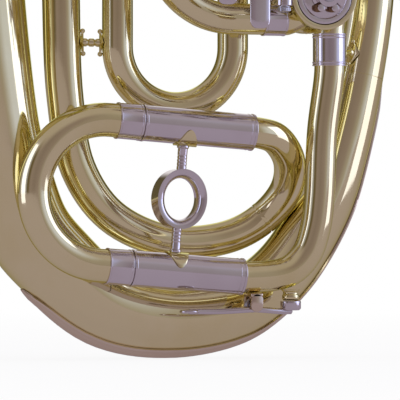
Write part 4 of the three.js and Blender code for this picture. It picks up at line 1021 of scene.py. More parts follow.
def carved(body: Skin, tool: Skin) -> Skin:
    """Cuts one skin out of another.

    Args:
        body: what is cut.
        tool: what is taken away.

    Returns:
        A new skin.
    """
    objects = []
    for name, skin in (("carved_body", body), ("carving_tool", tool)):
        mesh = bpy.data.meshes.new(name)
        mesh.from_pydata([tuple(p) for p in skin.points], [], skin.faces)
        objects.append(linked(name, mesh))
    modifier = objects[0].modifiers.new("cut", "BOOLEAN")
    modifier.operation = "DIFFERENCE"
    modifier.solver = "EXACT"
    modifier.use_self = True
    modifier.object = objects[1]
    graph = bpy.context.evaluated_depsgraph_get()
    mesh = objects[0].evaluated_get(graph).to_mesh()
    out = Skin()
    out.points = [v.co.copy() for v in mesh.vertices]
    out.faces = [tuple(p.vertices) for p in mesh.polygons]
    out.finishes = [0] * len(out.faces)
    for obj in objects:
        data = obj.data
        bpy.data.objects.remove(obj)
        bpy.data.meshes.remove(data)
    return out


@dataclass
class ValveSection(Section):
    """The three rotary valves: casing, rotor, bearing plate, stop arm and rear cap."""

    casing_wall: float = 1.6
    casing_hole: float = 3.3
    plate_hole: float = 3.25
    clearance: float = 0.35
    rim: float = 0.8
    rim_length: float = 2.6
    passage: tuple = (6.7, 4.8)
    plate: float = 3
    spindle: float = 2.9
    cap_wall: float = 1.2
    cap_skirt: float = 7
    cap_dome: float = 2.6
    boss: float = 5.2
    boss_height: float = 3
    stop: float = 1.9
    stop_circle: float = 7.1
    stop_spread: float = radians(30)
    arm_radius: float = 9.2
    arm_hub: float = 4.6
    arm: float = 2.6
    stem: float = 2.3
    screw: float = 3.4
    screw_height: float = 1.6
    stud: float = 1.05
    stud_ball: float = 1.65
    stud_reach: float = 16

    def build(self) -> None:
        """Makes the pieces of each valve."""
        self.carved_rotor = self.rotor()
        parts = (("casing", self.casing, Finish.BRASS, Finish.NICKEL),
                 ("rotor", self.copy_rotor, Finish.STEEL),
                 ("bearing_plate", self.bearing, Finish.NICKEL, Finish.CORK),
                 ("stop_arm", self.stop_arm, Finish.NICKEL), ("rear_cap", self.cap, Finish.BRASS))
        for number in (1, 2, 3):
            for name, fill, *finishes in parts:
                skin = Skin(Matrix.Translation((S.valve_x, -S.front, S.valve_z(number))))
                fill(skin)
                self.dress(f"valve_{number}_{name}", skin, *finishes)

    def copy_rotor(self, skin: Skin) -> None:
        """Adds the carved rotor."""
        skin.points = [skin.place @ p for p in self.carved_rotor.points]
        skin.faces, skin.finishes = self.carved_rotor.faces, self.carved_rotor.finishes

    def casing(self, skin: Skin) -> None:
        """The casing's shell with its four knuckles.

        Args:
            skin: its mesh, about the valve's centre.
        """
        half, bore, out = S.casing_half, S.casing - self.casing_wall, S.casing
        skin.turned([(bore, -half), (out + self.rim, -half), (out + self.rim, self.rim_length - half),
                     (out, self.rim_length - half), (out, half), (self.casing_hole, half),
                     (self.casing_hole, half - self.plate), (bore, half - self.plate)],
                    (0, 0, 0), BACK, 96, 0.35, closed=True)
        port = S.casing * sqrt(0.5)
        end = S.valve_pitch / 2 - S.gap
        for way in (1, -1):
            self.stub(skin, [(port * 0.78, 0, way * port * 0.75), (S.windway, 0, way * (port + end) / 2),
                             (S.windway, 0, way * end)])
            self.stub(skin, [(-port * 0.75, 0, way * port * 0.75), (-port * 1.3, 0, way * S.port),
                             (-S.knuckle, 0, way * S.port)])

    def stub(self, skin: Skin, points: Sequence) -> None:
        """A short tube that grows out of the casing's wall.

        Args:
            skin: the casing's mesh.
            points: the tube's centreline, from inside the casing outwards.
        """
        sides, rows = 40, 10
        route = Route.smooth(points, [S.tube] * len(points), 10)
        walls = []
        for radius in (S.tube, S.tube - S.wall):
            rings = [ring_of(s, radius, radius, sides) for s in route.stations]
            lines = []
            for i in range(sides):
                line = [ring[i] for ring in rings]
                reach = S.casing - self.casing_wall * 0.5
                start = 0.0
                for k in range(len(line) - 1):
                    a, b = hypot(line[k].x, line[k].z), hypot(line[k + 1].x, line[k + 1].z)
                    if a < reach <= b:
                        start = k + (reach - a) / (b - a)
                last = len(line) - 1
                spots = [start + (last - start) * r / rows for r in range(rows + 1)]
                floors = [min(int(t), last - 1) for t in spots]
                lines.append([line[k].lerp(line[k + 1], t - k) for k, t in zip(floors, spots)])
            walls.append([[line[r] for line in lines] for r in range(rows + 1)])
        skin.loft(walls[0] + walls[1][::-1], closed=True)

    def rotor(self) -> Skin:
        """The rotor with its two bent passages, its spindle and its screw.

        Returns:
            A rotor about the valve's centre.
        """
        half = S.casing_half - self.plate - self.clearance
        radius = S.casing - self.casing_wall - self.clearance
        drum = Skin()
        drum.turned([(0, -half), (radius, -half), (radius, half), (0, half)], (0, 0, 0), BACK, 64, 0)
        tool = Skin()
        port = S.casing * sqrt(0.5)
        for side in (1, -1):
            bend = [(side * x * port, 0, z * port) for x, z in ((1.05, 1.05), (0.62, 0), (1.05, -1.05))]
            tool.loft([ring_of(s, *self.passage, 28) for s in Route.smooth(bend, [1, 1, 1], 8).stations])
        skin = carved(drum, tool)
        boss = S.casing_half + self.boss_height
        arm = boss + 0.6 + self.arm
        skin.turned([(0, -arm), (self.stem, -arm), (self.stem, -boss), (self.spindle, -boss),
                     (self.spindle, S.casing_half - 0.3), (0, S.casing_half - 0.3)], (0, 0, 0), BACK, 32, 0.2)
        skin.slotted_head(Vector((0, -arm, 0)), FRONT, self.screw, self.screw_height)
        return skin

    def bearing(self, skin: Skin) -> None:
        """The bearing plate: turned steps and a ring groove, with two stops and their cork sleeves.

        Args:
            skin: its mesh, about the valve's centre.
        """
        half, edge = S.casing_half, S.casing - self.casing_wall - 0.32
        front = -half
        hole, face = self.plate_hole, front - self.boss_height
        rear = front + self.plate
        skin.turned([(hole, face), (self.boss, face), (self.boss, front - 0.5), (self.boss + 1.2, front),
                     (edge - 3.4, front), (edge - 3.1, front + 0.35), (edge - 2.7, front + 0.35),
                     (edge - 2.4, front), (edge, front), (edge, rear), (hole, rear)],
                    (0, 0, 0), BACK, 80, 0.25, closed=True)
        for way in (1, -1):
            x = way * self.stop_circle * sin(self.stop_spread)
            z = -self.stop_circle * cos(self.stop_spread)
            tip = face - self.arm
            skin.finish = 0
            post = [(0, 0), (1.1, 0), (1.1, 4.4), (0.8, 4.7), (0, 4.7)]
            skin.turned(post, (x, front - 0.1, z), FRONT, 20, 0.15)
            skin.finish = 1
            skin.turned(peg(self.stop, front - tip - 0.9), (x, front - 0.05, z), FRONT, 28, 0.4)
            skin.finish = 0
            skin.turned(peg(self.stop - 0.1, 0.7), (x, tip + 0.85, z), FRONT, 28, 0.25)

    def stop_arm(self, skin: Skin) -> None:
        """The stop arm: a sector whose edges meet the stops, and the ball stud of the link.

        Args:
            skin: its mesh, about the valve's centre.
        """
        front = -S.casing_half - self.boss_height - 0.3
        play = asin((self.stop + 0.3) / self.stop_circle)
        half = pi - self.stop_spread - play - pi / 4
        outline = [on_circle(self.arm_radius, -half + 2 * half * i / 32) for i in range(33)]
        outline += [on_circle(self.arm_hub, half + (TAU - 2 * half) * i / 16) for i in range(17)]
        place = skin.place
        skin.place = place @ Matrix.Rotation(-pi / 4, 4, "Y")
        skin.plate(softened(outline, 0.9, True), self.arm, facing_front(front), 0.35)
        skin.turned([(0, 0), (5.6, 0), (5.6, 0.35), (4.2, 0.55), (0, 0.55)], (0, front - self.arm + 0.4, 0),
                    FRONT, 40, 0.15)
        skin.place = place
        spot = S.arm_lift
        skin.turned([(0, 0), (2.3, 0), (2.3, 1.4), (self.stud, 2), (self.stud, self.stud_reach - 6),
                     (0, self.stud_reach - 6)], (spot, front - self.arm + 0.2, spot), FRONT, 24, 0.2)
        skin.ball((spot, -S.casing_half - self.stud_reach, spot), self.stud_ball)

    def cap(self, skin: Skin) -> None:
        """The rear cap: a screwed dome with a knurled edge and two turned rings.

        Args:
            skin: its mesh, about the valve's centre.
        """
        half, inner = S.casing_half, S.casing + 0.3
        outer = inner + self.cap_wall - 0.05
        crown = half + self.cap_wall + self.cap_dome
        skin.turned([(inner, half - self.cap_skirt), (outer, half - self.cap_skirt), (outer, half - 1.2),
                     (outer - 0.35, half - 0.9), (outer, half - 0.6), (outer, half + self.cap_wall - 0.1),
                     (outer * 0.82, crown - 0.8), (outer * 0.6, crown - 0.45), (outer * 0.57, crown - 0.65),
                     (outer * 0.54, crown - 0.4), (0, crown - 0.05)], (0, 0, 0), BACK, 96, 0.3)
        skin.turned([(0, half + 0.95), (inner, half + 0.35), (inner, half - self.cap_skirt + 0.01)],
                    (0, 0, 0), BACK, 96, 0)
        for i in range(60):
            x, z = on_circle(outer, TAU * i / 60)
            spot = Vector((x, half - self.cap_skirt + 2.6, z))
            skin.bar(Route.bent([spot - BACK * 1.7, spot + BACK * 1.7], [], 1).stations, 0.55, 0.55, 8)


@dataclass
class LeverSection(Section):
    """The finger levers on their axle and rail, the link rods and the springs."""

    hub: float = 4.35
    bore: float = 2.2
    below: float = 6.5
    above: float = 11.5
    short: float = 2.4
    long: tuple = (2.2, 4.6)
    screw: tuple = (2.25, 0.78)
    pin: float = 1.45
    eye: float = 3.5
    eye_hole: float = 1.9
    eye_height: float = 3
    clip: float = 3.6
    clip_inner: float = 2.5
    clip_mouth: float = 1.9
    clip_height: float = 5
    rod: float = 1.2
    plate_stand: float = 12
    plate_offset: float = 38.5
    plate_drop: float = 17
    plate_width: float = 9.8
    plate_length: float = 25
    plate_thickness: float = 1.7
    pitch: float = 16
    stagger: float = 11
    stand: float = 21
    stud_reach: float = 16
    axle_offset: float = 22.5
    spring: float = 5.3
    wire: float = 0.5
    turns: float = 3.75
    rise: float = 2.95
    nut: float = 1.2
    thread: float = 0.55
    overhang: float = 3.6
    axle_radius: float = 1.95
    knob: float = 2.9
    lug: float = 4
    lug_hole: float = 2.15
    lug_height: float = 3

    def build(self) -> None:
        """Makes the levers, then what carries them."""
        half = S.swing / 2
        self.pin_place = (S.short_arm * sin(half), -S.short_arm * cos(half))
        for number in (1, 2, 3):
            place = Matrix.Translation((*S.axle, S.valve_z(number) + S.arm_lift))
            skin = Skin(place)
            self.lever(skin, number)
            self.dress(f"lever_{number}", skin, Finish.NICKEL)
            for name, fill in (("link_rod", self.link), ("lever_spring", self.coil)):
                skin = Skin(place)
                fill(skin)
                self.dress(f"{name}_{number}", skin, Finish.STEEL)
        self.axle()

    def lever(self, skin: Skin, number: int) -> None:
        """One lever: hub with rims, short arm with its pin, long arm and finger plate.

        Args:
            skin: its mesh, about the pivot.
            number: the valve that it works.
        """
        hub, rim = self.hub - 0.35, self.hub
        low, high = -self.below, self.above
        skin.turned([(self.bore, low), (rim, low), (rim, low + 1.2), (hub, low + 1.6), (hub, high - 1.6),
                     (rim, high - 1.2), (rim, high), (self.bore, high)], (0, 0, 0), UP, 40, 0.2, closed=True)
        top = -self.eye_height / 2 - 0.3
        skin.plate(link_outline((0, 0), self.hub, self.pin_place, self.pin + 1.6), self.short,
                   facing_up(top - self.short), 0.35)
        skin.turned(peg(self.pin, 6), (*self.pin_place, top - self.short), UP, 24, 0.1)
        skin.slotted_head(Vector((*self.pin_place, self.eye_height / 2 + 0.3)), UP, *self.screw)
        others = 3 - number
        x = self.axle_offset - self.plate_offset - others * self.pitch
        bottom = others * (self.stagger - S.valve_pitch) - self.plate_drop - S.arm_lift
        ceiling = bottom + self.plate_length
        height = top - self.short / 2
        stand = self.plate_stand
        route = Route.smooth([(-self.hub * 0.6, 0, height), (-self.hub * 1.6, -stand * 0.25, height),
                              (x * 0.8, -stand * 0.95, height + (ceiling - height) * 0.8),
                              (x, -stand, ceiling - self.plate_width / 2)], [1] * 4, 12)
        skin.bar(route.stations, *self.long, 24)
        self.touch(skin, x, bottom, ceiling)

    def touch(self, skin: Skin, x: float, bottom: float, ceiling: float) -> None:
        """A finger plate, slightly domed, with a soldered boss behind it.

        Args:
            skin: the lever's mesh.
            x: the plate's middle.
            bottom: height of its lower end.
            ceiling: height of its upper end.
        """
        r, depth = self.plate_width / 2, self.plate_thickness
        outline = []
        for centre, turn in ((bottom + r, pi), (ceiling - r, 0)):
            for i in range(21):
                c, s = on_circle(1, turn + pi * i / 20)
                outline.append((r * copysign(abs(c) ** 0.6, c), centre + r * copysign(abs(s) ** 0.8, s)))
        rings = []
        front, rear = -self.plate_stand - depth / 2, -self.plate_stand + depth / 2
        middle = (bottom + ceiling) / 2
        for shrink, y in ((0.12, rear), (0.03, rear), (0, rear - 0.25), (0, front + 0.8), (0.03, front + 0.5),
                          (0.09, front + 0.3), (0.25, front + 0.12), (0.55, front + 0.03), (0.9, front)):
            upright = 1 - shrink * r / (self.plate_length / 2)
            rings.append([(x + px * (1 - shrink), y, middle + (pz - middle) * upright) for px, pz in outline])
        skin.loft(rings)
        boss = (x, rear - 0.1, ceiling - r * 1.5)
        skin.turned([(0, 0), (2.6, 0), (2.2, 0.8), (0, 0.8)], boss, BACK, 24, 0.2)

    def link(self, skin: Skin) -> None:
        """The link rod: an eye on the lever's pin, a threaded rod with nuts and a clip on the ball.

        Args:
            skin: its mesh, about the lever's pivot.
        """
        pin = Vector((*self.pin_place, 0))
        stud = Vector((self.axle_offset + S.arm_lift, self.stand - S.casing_half - self.stud_reach, 0))
        heading = (stud - pin).normalized()
        h = self.eye_height / 2
        hole, eye = self.eye_hole, self.eye
        skin.turned([(hole, -h), (eye, -h), (eye, h), (hole, h)], pin, UP, 40, 0.3, closed=True)
        h = self.clip_height / 2
        gap = asin(self.clip_mouth / self.clip)
        arc = [pi / 2 + gap + (TAU - 2 * gap) * i / 40 for i in range(41)]
        outline = [(stud.x + r * cos(a), stud.y + r * sin(a))
                   for r, angles in ((self.clip, arc), (self.clip_inner, arc[::-1])) for a in angles]
        skin.plate(outline, self.clip_height, facing_up(-h), 0.2)
        start, end = pin + heading * (self.eye - 0.3), stud - heading * (self.clip_inner + 0.4)
        skin.rod(start, end, self.rod, 20)
        for centre in (start + heading * 1.9, end - heading * 1.7):
            skin.turned(peg(self.rod + 0.12, self.nut), centre - heading * self.nut / 2, heading, 6, 0.1)
        turns = int((end - start).length / self.thread)
        for i in range(6, turns - 5):
            spot = start.lerp(end, i / turns)
            skin.turned([(self.rod - 0.05, -0.16), (self.rod + 0.1, 0), (self.rod - 0.05, 0.16)],
                        spot, heading, 14, 0)

    def coil(self, skin: Skin) -> None:
        """The return spring round the hub, with its two legs.

        Args:
            skin: its mesh, about the lever's pivot.
        """
        skin.place = skin.place @ Matrix.Translation((0, 0, 0.1))
        route = coil_route(self.spring, self.rise, self.turns, pi / 2, 8)
        skin.loft([ring_of(s, self.wire, self.wire, 12) for s in route.stations])

    def axle(self) -> None:
        """The axle with its knurled knobs, and the rail with lugs and feet."""
        base = Matrix.Translation((*S.axle, 0))
        bottom = S.valve_z(3) + S.arm_lift - self.below - self.overhang
        top = S.valve_z(1) + S.arm_lift + self.above + self.overhang
        skin = Skin(base)
        skin.rod((0, 0, bottom - 0.5), (0, 0, top + 0.5), self.axle_radius, 32)
        r = self.knob
        for z, way in ((top, UP), (bottom, DOWN)):
            skin.turned([(0, 0), (r + 0.2, 0), (r + 0.2, 0.5), (r, 0.7), (r, 2.2), (r - 0.7, 2.7), (0, 2.95)],
                        (0, 0, z), way, 40, 0.15)
            for i in range(24):
                spot = Vector((*on_circle(r, TAU * i / 24), z + way.z * 1.4))
                skin.bar(Route.bent([spot - UP * 0.6, spot + UP * 0.6], [], 1).stations, 0.4, 0.4, 6)
        self.dress("lever_axle", skin, Finish.STEEL)
        skin = Skin(base)
        low, high = bottom + 0.3, top - 0.3
        outline = softened([(-4, low), (4, low), (4, high), (-4, high)], 1.2, True)
        skin.plate(outline, 2, facing_front(8.4), 0.3)
        for number in (1, 2, 3):
            centre = S.valve_z(number)
            for z in (centre + S.arm_lift - self.below - 3.3, centre + S.arm_lift + self.above + 0.3):
                self.add_lug(skin, z)
            foot = [(-0.5, 7.6), (4, 7.6), (4, 8.9), (6.7, 8.9), (6.7, 11.9), (-0.5, 11.9)]
            skin.plate(softened(foot, 0.5, True), 3, facing_up(centre - 1.5), 0.25)
            skin.slotted_head(Vector((0, 6.4, centre)), FRONT, 1.9, 0.9)
        self.dress("lever_rail", skin, Finish.NICKEL)

    def add_lug(self, skin: Skin, z: float) -> None:
        """A lug of the rail, with the axle's hole through it.

        Args:
            skin: the rail's mesh.
            z: height of the lug's underside.
        """
        outline = link_outline((0, 0), self.lug, (0, 7.4), self.lug, 20)
        angles = [atan2(py, px) for px, py in outline]
        thick, r = self.lug_height, self.lug_hole
        hole = [[(*on_circle(r, a), z + height) for a in angles] for height in (0, thick)]
        rings = [hole[0]]
        for height, edge in ((0, 0.25), (0.3, 0), (thick - 0.3, 0), (thick, 0.25)):
            sizes = [1 - edge / max(hypot(px, py), 1) for px, py in outline]
            rings.append([(px * size, py * size, z + height) for (px, py), size in zip(outline, sizes)])
        skin.loft([*rings, hole[1]], closed=True)


COIL_STEPS = 28


def coil_route(radius: float, rise: float, turns: float, start: float, leg: float) -> Route:
    """The wire of a coil, wound clockwise, with a straight leg at each end.

    Args:
        radius: the coil's radius.
        rise: its rise in one turn.
        turns: how many turns it has.
        start: the angle where it begins.
        leg: the length of each leg.

    Returns:
        The wire's route, about the Z axis.
    """
    count = round(turns * COIL_STEPS)
    stations = []
    for i in range(count + 1):
        angle = start - TAU * turns * i / count
        stations.append(Station(Vector((*on_circle(radius, angle), rise * turns * i / count)),
                                Vector((sin(angle), -cos(angle), 0))))
    first, last = stations[0], stations[-1]
    return Route([Station(first.point - first.tangent * leg, first.tangent), *stations,
                  Station(last.point + last.tangent * leg, last.tangent)])


@dataclass
class LoopSection(Section):
    """The valve loops: side slides of valves 1 and 2, and the long loop of valve 3."""

    first: tuple = (34, 32)
    second: tuple = (14, 5.6)
    third: tuple = (18, 3)
    bend: float = 37
    riser: float = -14.402
    riser_height: float = 196.026
    rear_leg: float = -26.502
    rear_y: float = -7
    rear_width: float = 57.902
    rear_bottom: float = 120.026
    turn: float = 12
    ferrule: float = 11
    ferrule_lap: float = 4.5
    ferrule_lift: float = 0.4
    sleeve_wall: float = 0.75
    long_leg: float = 25
    lap: float = 2.2
    short_lap: float = 0.8

    def build(self) -> None:
        """Makes the slides and the long loop."""
        for number, (run, reach) in ((1, self.first), (2, self.second)):
            base = Vector((S.valve_x - S.knuckle, -S.front, S.valve_z(number)))
            starts, legs = ([base + Vector((x, 0, z)) for z in (S.port, -S.port)] for x in (1.5, -0.6))
            self.sleeves(number, starts, LEFT, run)
            self.bow(number, legs, LEFT, run + reach)
        self.long_loop()

    def sleeves(self, number: int, starts: Sequence, way: Vector, length: float) -> None:
        """A pair of outer sleeves with end rings, joined by a turned brace.

        Args:
            number: the valve that they belong to.
            starts: where each sleeve starts.
            way: the way that they point.
            length: their length.
        """
        skin = Skin()
        outer = S.sleeve_outer
        for start in starts:
            route = Route.bent([start, start + way * length], [], outer)
            skin.tube(route.part(0, length), self.sleeve_wall, 40)
            skin.band(route, length - 1.62, [(0, 0.5), (1.6, 0.5)], 0.4)
            skin.band(route, length - 4, [(0, 0.15), (0.6, 0.15)], 0.2)
        mid = [start + way * (length / 2) for start in starts]
        across = (mid[1] - mid[0]).normalized()
        a, b = mid[0] + across * (outer - 0.3), mid[1] - across * (outer - 0.3)
        size = (b - a).length
        skin.turned([(0, 0), (1.65, 0), (1.65, size * 0.2), (1.15, size * 0.32), (1.15, size * 0.68),
                     (1.65, size * 0.8), (1.65, size), (0, size)], a, across, 28, 0.25)
        self.dress(f"valve_{number}_sleeves", skin, Finish.NICKEL)

    def bow(self, number: int, starts: Sequence, way: Vector, reach: float) -> None:
        """A slide bow: nickel inner legs and the brass bend.

        Args:
            number: the valve that it belongs to.
            starts: where each leg starts.
            way: the way that the legs point.
            reach: the length of each leg up to the bend.
        """
        spacing = (starts[1] - starts[0]).length
        tip = way * (reach + spacing / 2)
        corners = [starts[0], starts[0] + tip, starts[1] + tip, starts[1]]
        route = Route.bent(corners, [spacing / 2] * 2, S.tube, 5)
        skin = Skin()
        bend = reach - (self.lap if reach > self.long_leg else self.short_lap)
        skin.tube(route.part(bend, route.length - bend), S.wall, 44)
        skin.finish = 1
        for start, end in ((0, bend - 0.05), (route.length - bend + 0.05, route.length)):
            skin.tube(route.part(start, end), S.wall, 44)
        self.dress(f"valve_{number}_slide_bow", skin, Finish.BRASS, Finish.NICKEL)

    def long_loop(self) -> None:
        """The third valve's front tube, its rear loop, its sleeves and its slide."""
        x, z = S.valve_x - S.knuckle - 0.3, S.valve_z(3)
        rise = self.riser_height + 1.5
        front = Route.bent([(x, -S.front, z - S.port), (self.riser, -S.front, z - S.port),
                            (self.riser, -S.front, rise)], [self.bend], S.tube, 4)
        skin = Skin()
        skin.tube(front.whole, S.wall, 44)
        skin.finish = 1
        inner, low, size = S.tube + 0.05, S.tube + self.ferrule_lift, self.ferrule
        high = S.tube + (self.ferrule_lift + 0.16)
        skin.turned([(inner, 0), (high, 0), (high, 0.9), (low, 1), (low, size - 1), (high, size - 0.9),
                     (high, size), (inner, size)],
                    (x + self.ferrule_lap, -S.front, z - S.port), LEFT, 48, 0.15, closed=True)
        self.dress("third_loop_front", skin, Finish.BRASS, Finish.NICKEL)
        right = self.rear_leg + self.rear_width
        rear = Route.bent([(self.rear_leg, self.rear_y, rise), (self.rear_leg, self.rear_y, self.rear_bottom),
                           (right, self.rear_y, self.rear_bottom), (right, self.rear_y, z + S.port),
                           (right, -S.front, z + S.port), (x, -S.front, z + S.port)],
                          [self.rear_width / 2, self.rear_width / 2, self.turn, self.turn], S.tube, 4)
        skin = Skin()
        skin.tube(rear.whole, S.wall, 44)
        self.dress("third_loop_rear", skin, Finish.BRASS)
        starts = [Vector((self.riser, -S.front, self.riser_height)),
                  Vector((self.rear_leg, self.rear_y, self.riser_height))]
        self.sleeves(3, starts, UP, self.third[0])
        self.bow(3, [start + UP * 1.8 for start in starts], UP, sum(self.third))


def exit_route() -> Route:
    """The exit tube's route, from the lowest valve to the lower slide leg.

    Returns:
        The route.
    """
    top = S.valve_z(3) - S.valve_pitch / 2 - S.gap
    points = [Vector((S.valve_x + S.windway, -S.front, top)), *(S.oval(*row) for row in EXIT),
              slide_point(SLEEVE_RIGHT + S.tube / 2, LOWER), slide_point(SLEEVE_RIGHT - 6, LOWER)]
    return Route.smooth(points, [S.tube] * len(points), 10)


PIPE_END = 5.2


def leadpipe_route() -> Route:
    """The leadpipe's route, from the highest valve round the bell to the receiver.

    Returns:
        The route.
    """
    top = S.valve_z(1) + S.valve_pitch / 2 + S.gap
    points = [Vector((S.valve_x + S.windway, -S.front, top)), *(S.oval(*row) for row in LEADPIPE)]
    lengths = [0.0]
    for a, b in zip(points, points[1:]):
        lengths.append(lengths[-1] + (b - a).length)
    return Route.smooth(points, [S.tube + (PIPE_END - S.tube) * d / lengths[-1] for d in lengths], 10)


@dataclass
class ExitSection(Section):
    """The exit tube, its beaded ferrule with a stay, and the water key."""

    ferrule: float = 15.4
    bead: float = 0.25
    ferrule_fit: tuple = (0.16, 0.62)
    nipple: float = 4.2
    nipple_length: float = 5
    cup: float = 4.95
    cup_height: float = 4.4
    pivot: float = 1.15
    hub: float = 2.25
    hub_length: float = 8.4
    drop: float = 13.4
    ear: float = 6
    ear_thickness: float = 1.5
    arm: tuple = (3.4, 2.8)
    touch: float = 4.6
    reach: float = 32
    key_share: float = 0.2625
    coil: tuple = (3.1, 1.15, 3)
    wire: float = 0.35

    def build(self) -> None:
        """Makes the tube, the ferrule and the water key."""
        self.route = exit_route()
        skin = Skin()
        skin.tube(self.route.whole, S.wall, 48)
        self.dress("exit_tube", skin, Finish.BRASS)
        self.band()
        self.key()

    def band(self) -> None:
        """The nickel ferrule between the lowest valve and the exit tube, with the stay to the branch."""
        skin = Skin()
        middle = self.route.stations[0].point
        half = self.ferrule / 2
        inner, outer = (S.tube + lift for lift in self.ferrule_fit)
        lift = outer + self.bead
        profile = [(inner, -half)]
        for start in (0, 1.3):
            profile += [(lift, start - half), (lift, start + 0.6 - half), (outer, start + 0.75 - half),
                        (outer, start + 1.2 - half)]
        for start in (1.3, 0):
            profile += [(outer, half - start - 1.2), (outer, half - start - 0.75), (lift, half - start - 0.6),
                        (lift, half - start)]
        skin.turned([*profile, (inner, half)], middle, UP, 64, 0.12, closed=True)
        place = middle - UP * (self.ferrule / 8)
        branch, slope = station_near(BORE_ROUTE, Vector((place.x, 0, place.z)), *stretch("right_branch"))
        branch.point.z = place.z
        skin.finish = 1
        stay(skin, ((Station(place, UP, outer - 0.9), 0), (branch, slope)), (False, True), 1.0)
        self.dress("exit_ferrule", skin, Finish.NICKEL, Finish.BRASS)

    def key(self) -> None:
        """The water key: nipple, saddle with ears, rocking lever, cork and spring."""
        x = self.key_share * S.oval_width
        low = self.route.at(self.route.nearest(S.oval(self.key_share, -1, 0)))
        seat = low.point.z - S.tube - 0.3
        skin = Skin()
        r, size = self.nipple, self.nipple_length
        skin.turned([(1.6, 0), (r + 0.3, -0.2), (r, 0.5), (r * 0.86, 0.9), (r * 0.86, size * 0.42),
                     (r * 0.97, size * 0.5), (r * 0.97, size * 0.84), (r * 0.84, size), (1.6, size)],
                    (x, -S.front, seat + 0.05), DOWN, 48, 0.25, closed=True)
        self.dress("water_key_nipple", skin, Finish.BRASS)
        pivot_x = slide_point(SLEEVE_RIGHT + 0.75 * S.tube, LOWER).x
        leg = self.route.at(self.route.nearest(Vector((pivot_x, -S.front, seat)))).point.z
        pivot = Vector((pivot_x, -S.front, leg - self.drop))
        place = Matrix.Translation(pivot)
        self.saddle(place)
        self.lever(place, x - pivot_x, seat - self.nipple_length - 0.3 - pivot.z)

    def saddle(self, place: Matrix) -> None:
        """Two ears and a foot under the tube, with the pivot screw.

        Args:
            place: takes the key's pivot to its place.
        """
        skin = Skin(place)
        top = self.drop - S.tube - 0.35
        half = self.hub_length / 2 + 0.3
        r = self.ear / 2
        for y in (half + self.ear_thickness, -half):
            skin.plate(link_outline((0, top - r), r, (0, 0), r), self.ear_thickness, facing_front(y), 0.3)
        end = half + 1.5
        foot = softened([(-r, -end), (r, -end), (r, end), (-r, end)], 0.8, True)
        skin.plate(foot, self.ear_thickness, facing_up(top - self.ear_thickness), 0.3)
        skin.rod((0, -half - 1.4, 0), (0, half + 1.4, 0), self.pivot, 24)
        head = [(0, 0), (1.75, 0), (1.75, 0.1), (1.2, 0.16), (0, 0.2)]
        skin.turned(head, (0, -half - 1.3, 0), FRONT, 28, 0.05)
        self.dress("water_key_saddle", skin, Finish.GUARD)

    def lever(self, place: Matrix, cup_x: float, cup_top: float) -> None:
        """The rocking lever with its cup and touch, then the cork and the spring.

        Args:
            place: takes the key's pivot to its place.
            cup_x: the cup's distance from the pivot.
            cup_top: height of the cup's edge.
        """
        skin = Skin(place)
        base = cup_top - self.cup_height
        y = -self.hub_length / 4
        half = self.hub_length / 2
        hub = [(1.4, -half), (self.hub, -half), (self.hub, half), (1.4, half)]
        skin.turned(hub, (0, 0, 0), BACK, 36, 0.25, closed=True)
        c, h = self.cup, self.cup_height
        skin.turned([(0, 0), (c - 0.9, 0), (c, 0.9), (c, h - 0.9), (c, h), (c - 0.65, h), (c - 0.65, 0.7),
                     (0, 0.7)], (cup_x, 0, base), UP, 56, 0.25)
        under = base + 0.95 - self.arm[1] / 2
        for points in (
            [(0, y, -1.84), (cup_x / 3, y, under * 0.8), (cup_x - c, y / 2, under), (cup_x, 0, under)],
            [(0, y, -1.84), (-self.reach / 2, 0, -2.76), (-self.reach, 0, -2.76)],
        ):
            skin.bar(Route.smooth(points, [1] * len(points), 10).stations, *self.arm, 20)
        t = self.touch
        skin.turned([(0, 0), (t - 0.5, 0), (t, 0.5), (t, 1.1), (t - 0.5, 1.55), (t * 0.5, 1.75), (0, 1.8)],
                    (-self.reach, 0, -3.66), UP, 48, 0.2)
        self.dress("water_key_lever", skin, Finish.NICKEL)
        skin = Skin(place)
        c -= 1.0
        skin.turned([(0, 0), (c, 0), (c, 3), (c - 0.35, 3.4), (0, 3.4)], (cup_x, 0, base + 1), UP, 48, 0.3)
        self.dress("water_key_cork", skin, Finish.CORK)
        skin = Skin(place @ Matrix.Translation((0, 0.3, 0)) @ Matrix.Rotation(-pi / 2, 4, "X"))
        wire = coil_route(*self.coil, 0, self.coil[0])
        skin.loft([ring_of(s, self.wire, self.wire, 12) for s in wire.stations])
        self.dress("water_key_spring", skin, Finish.STEEL)


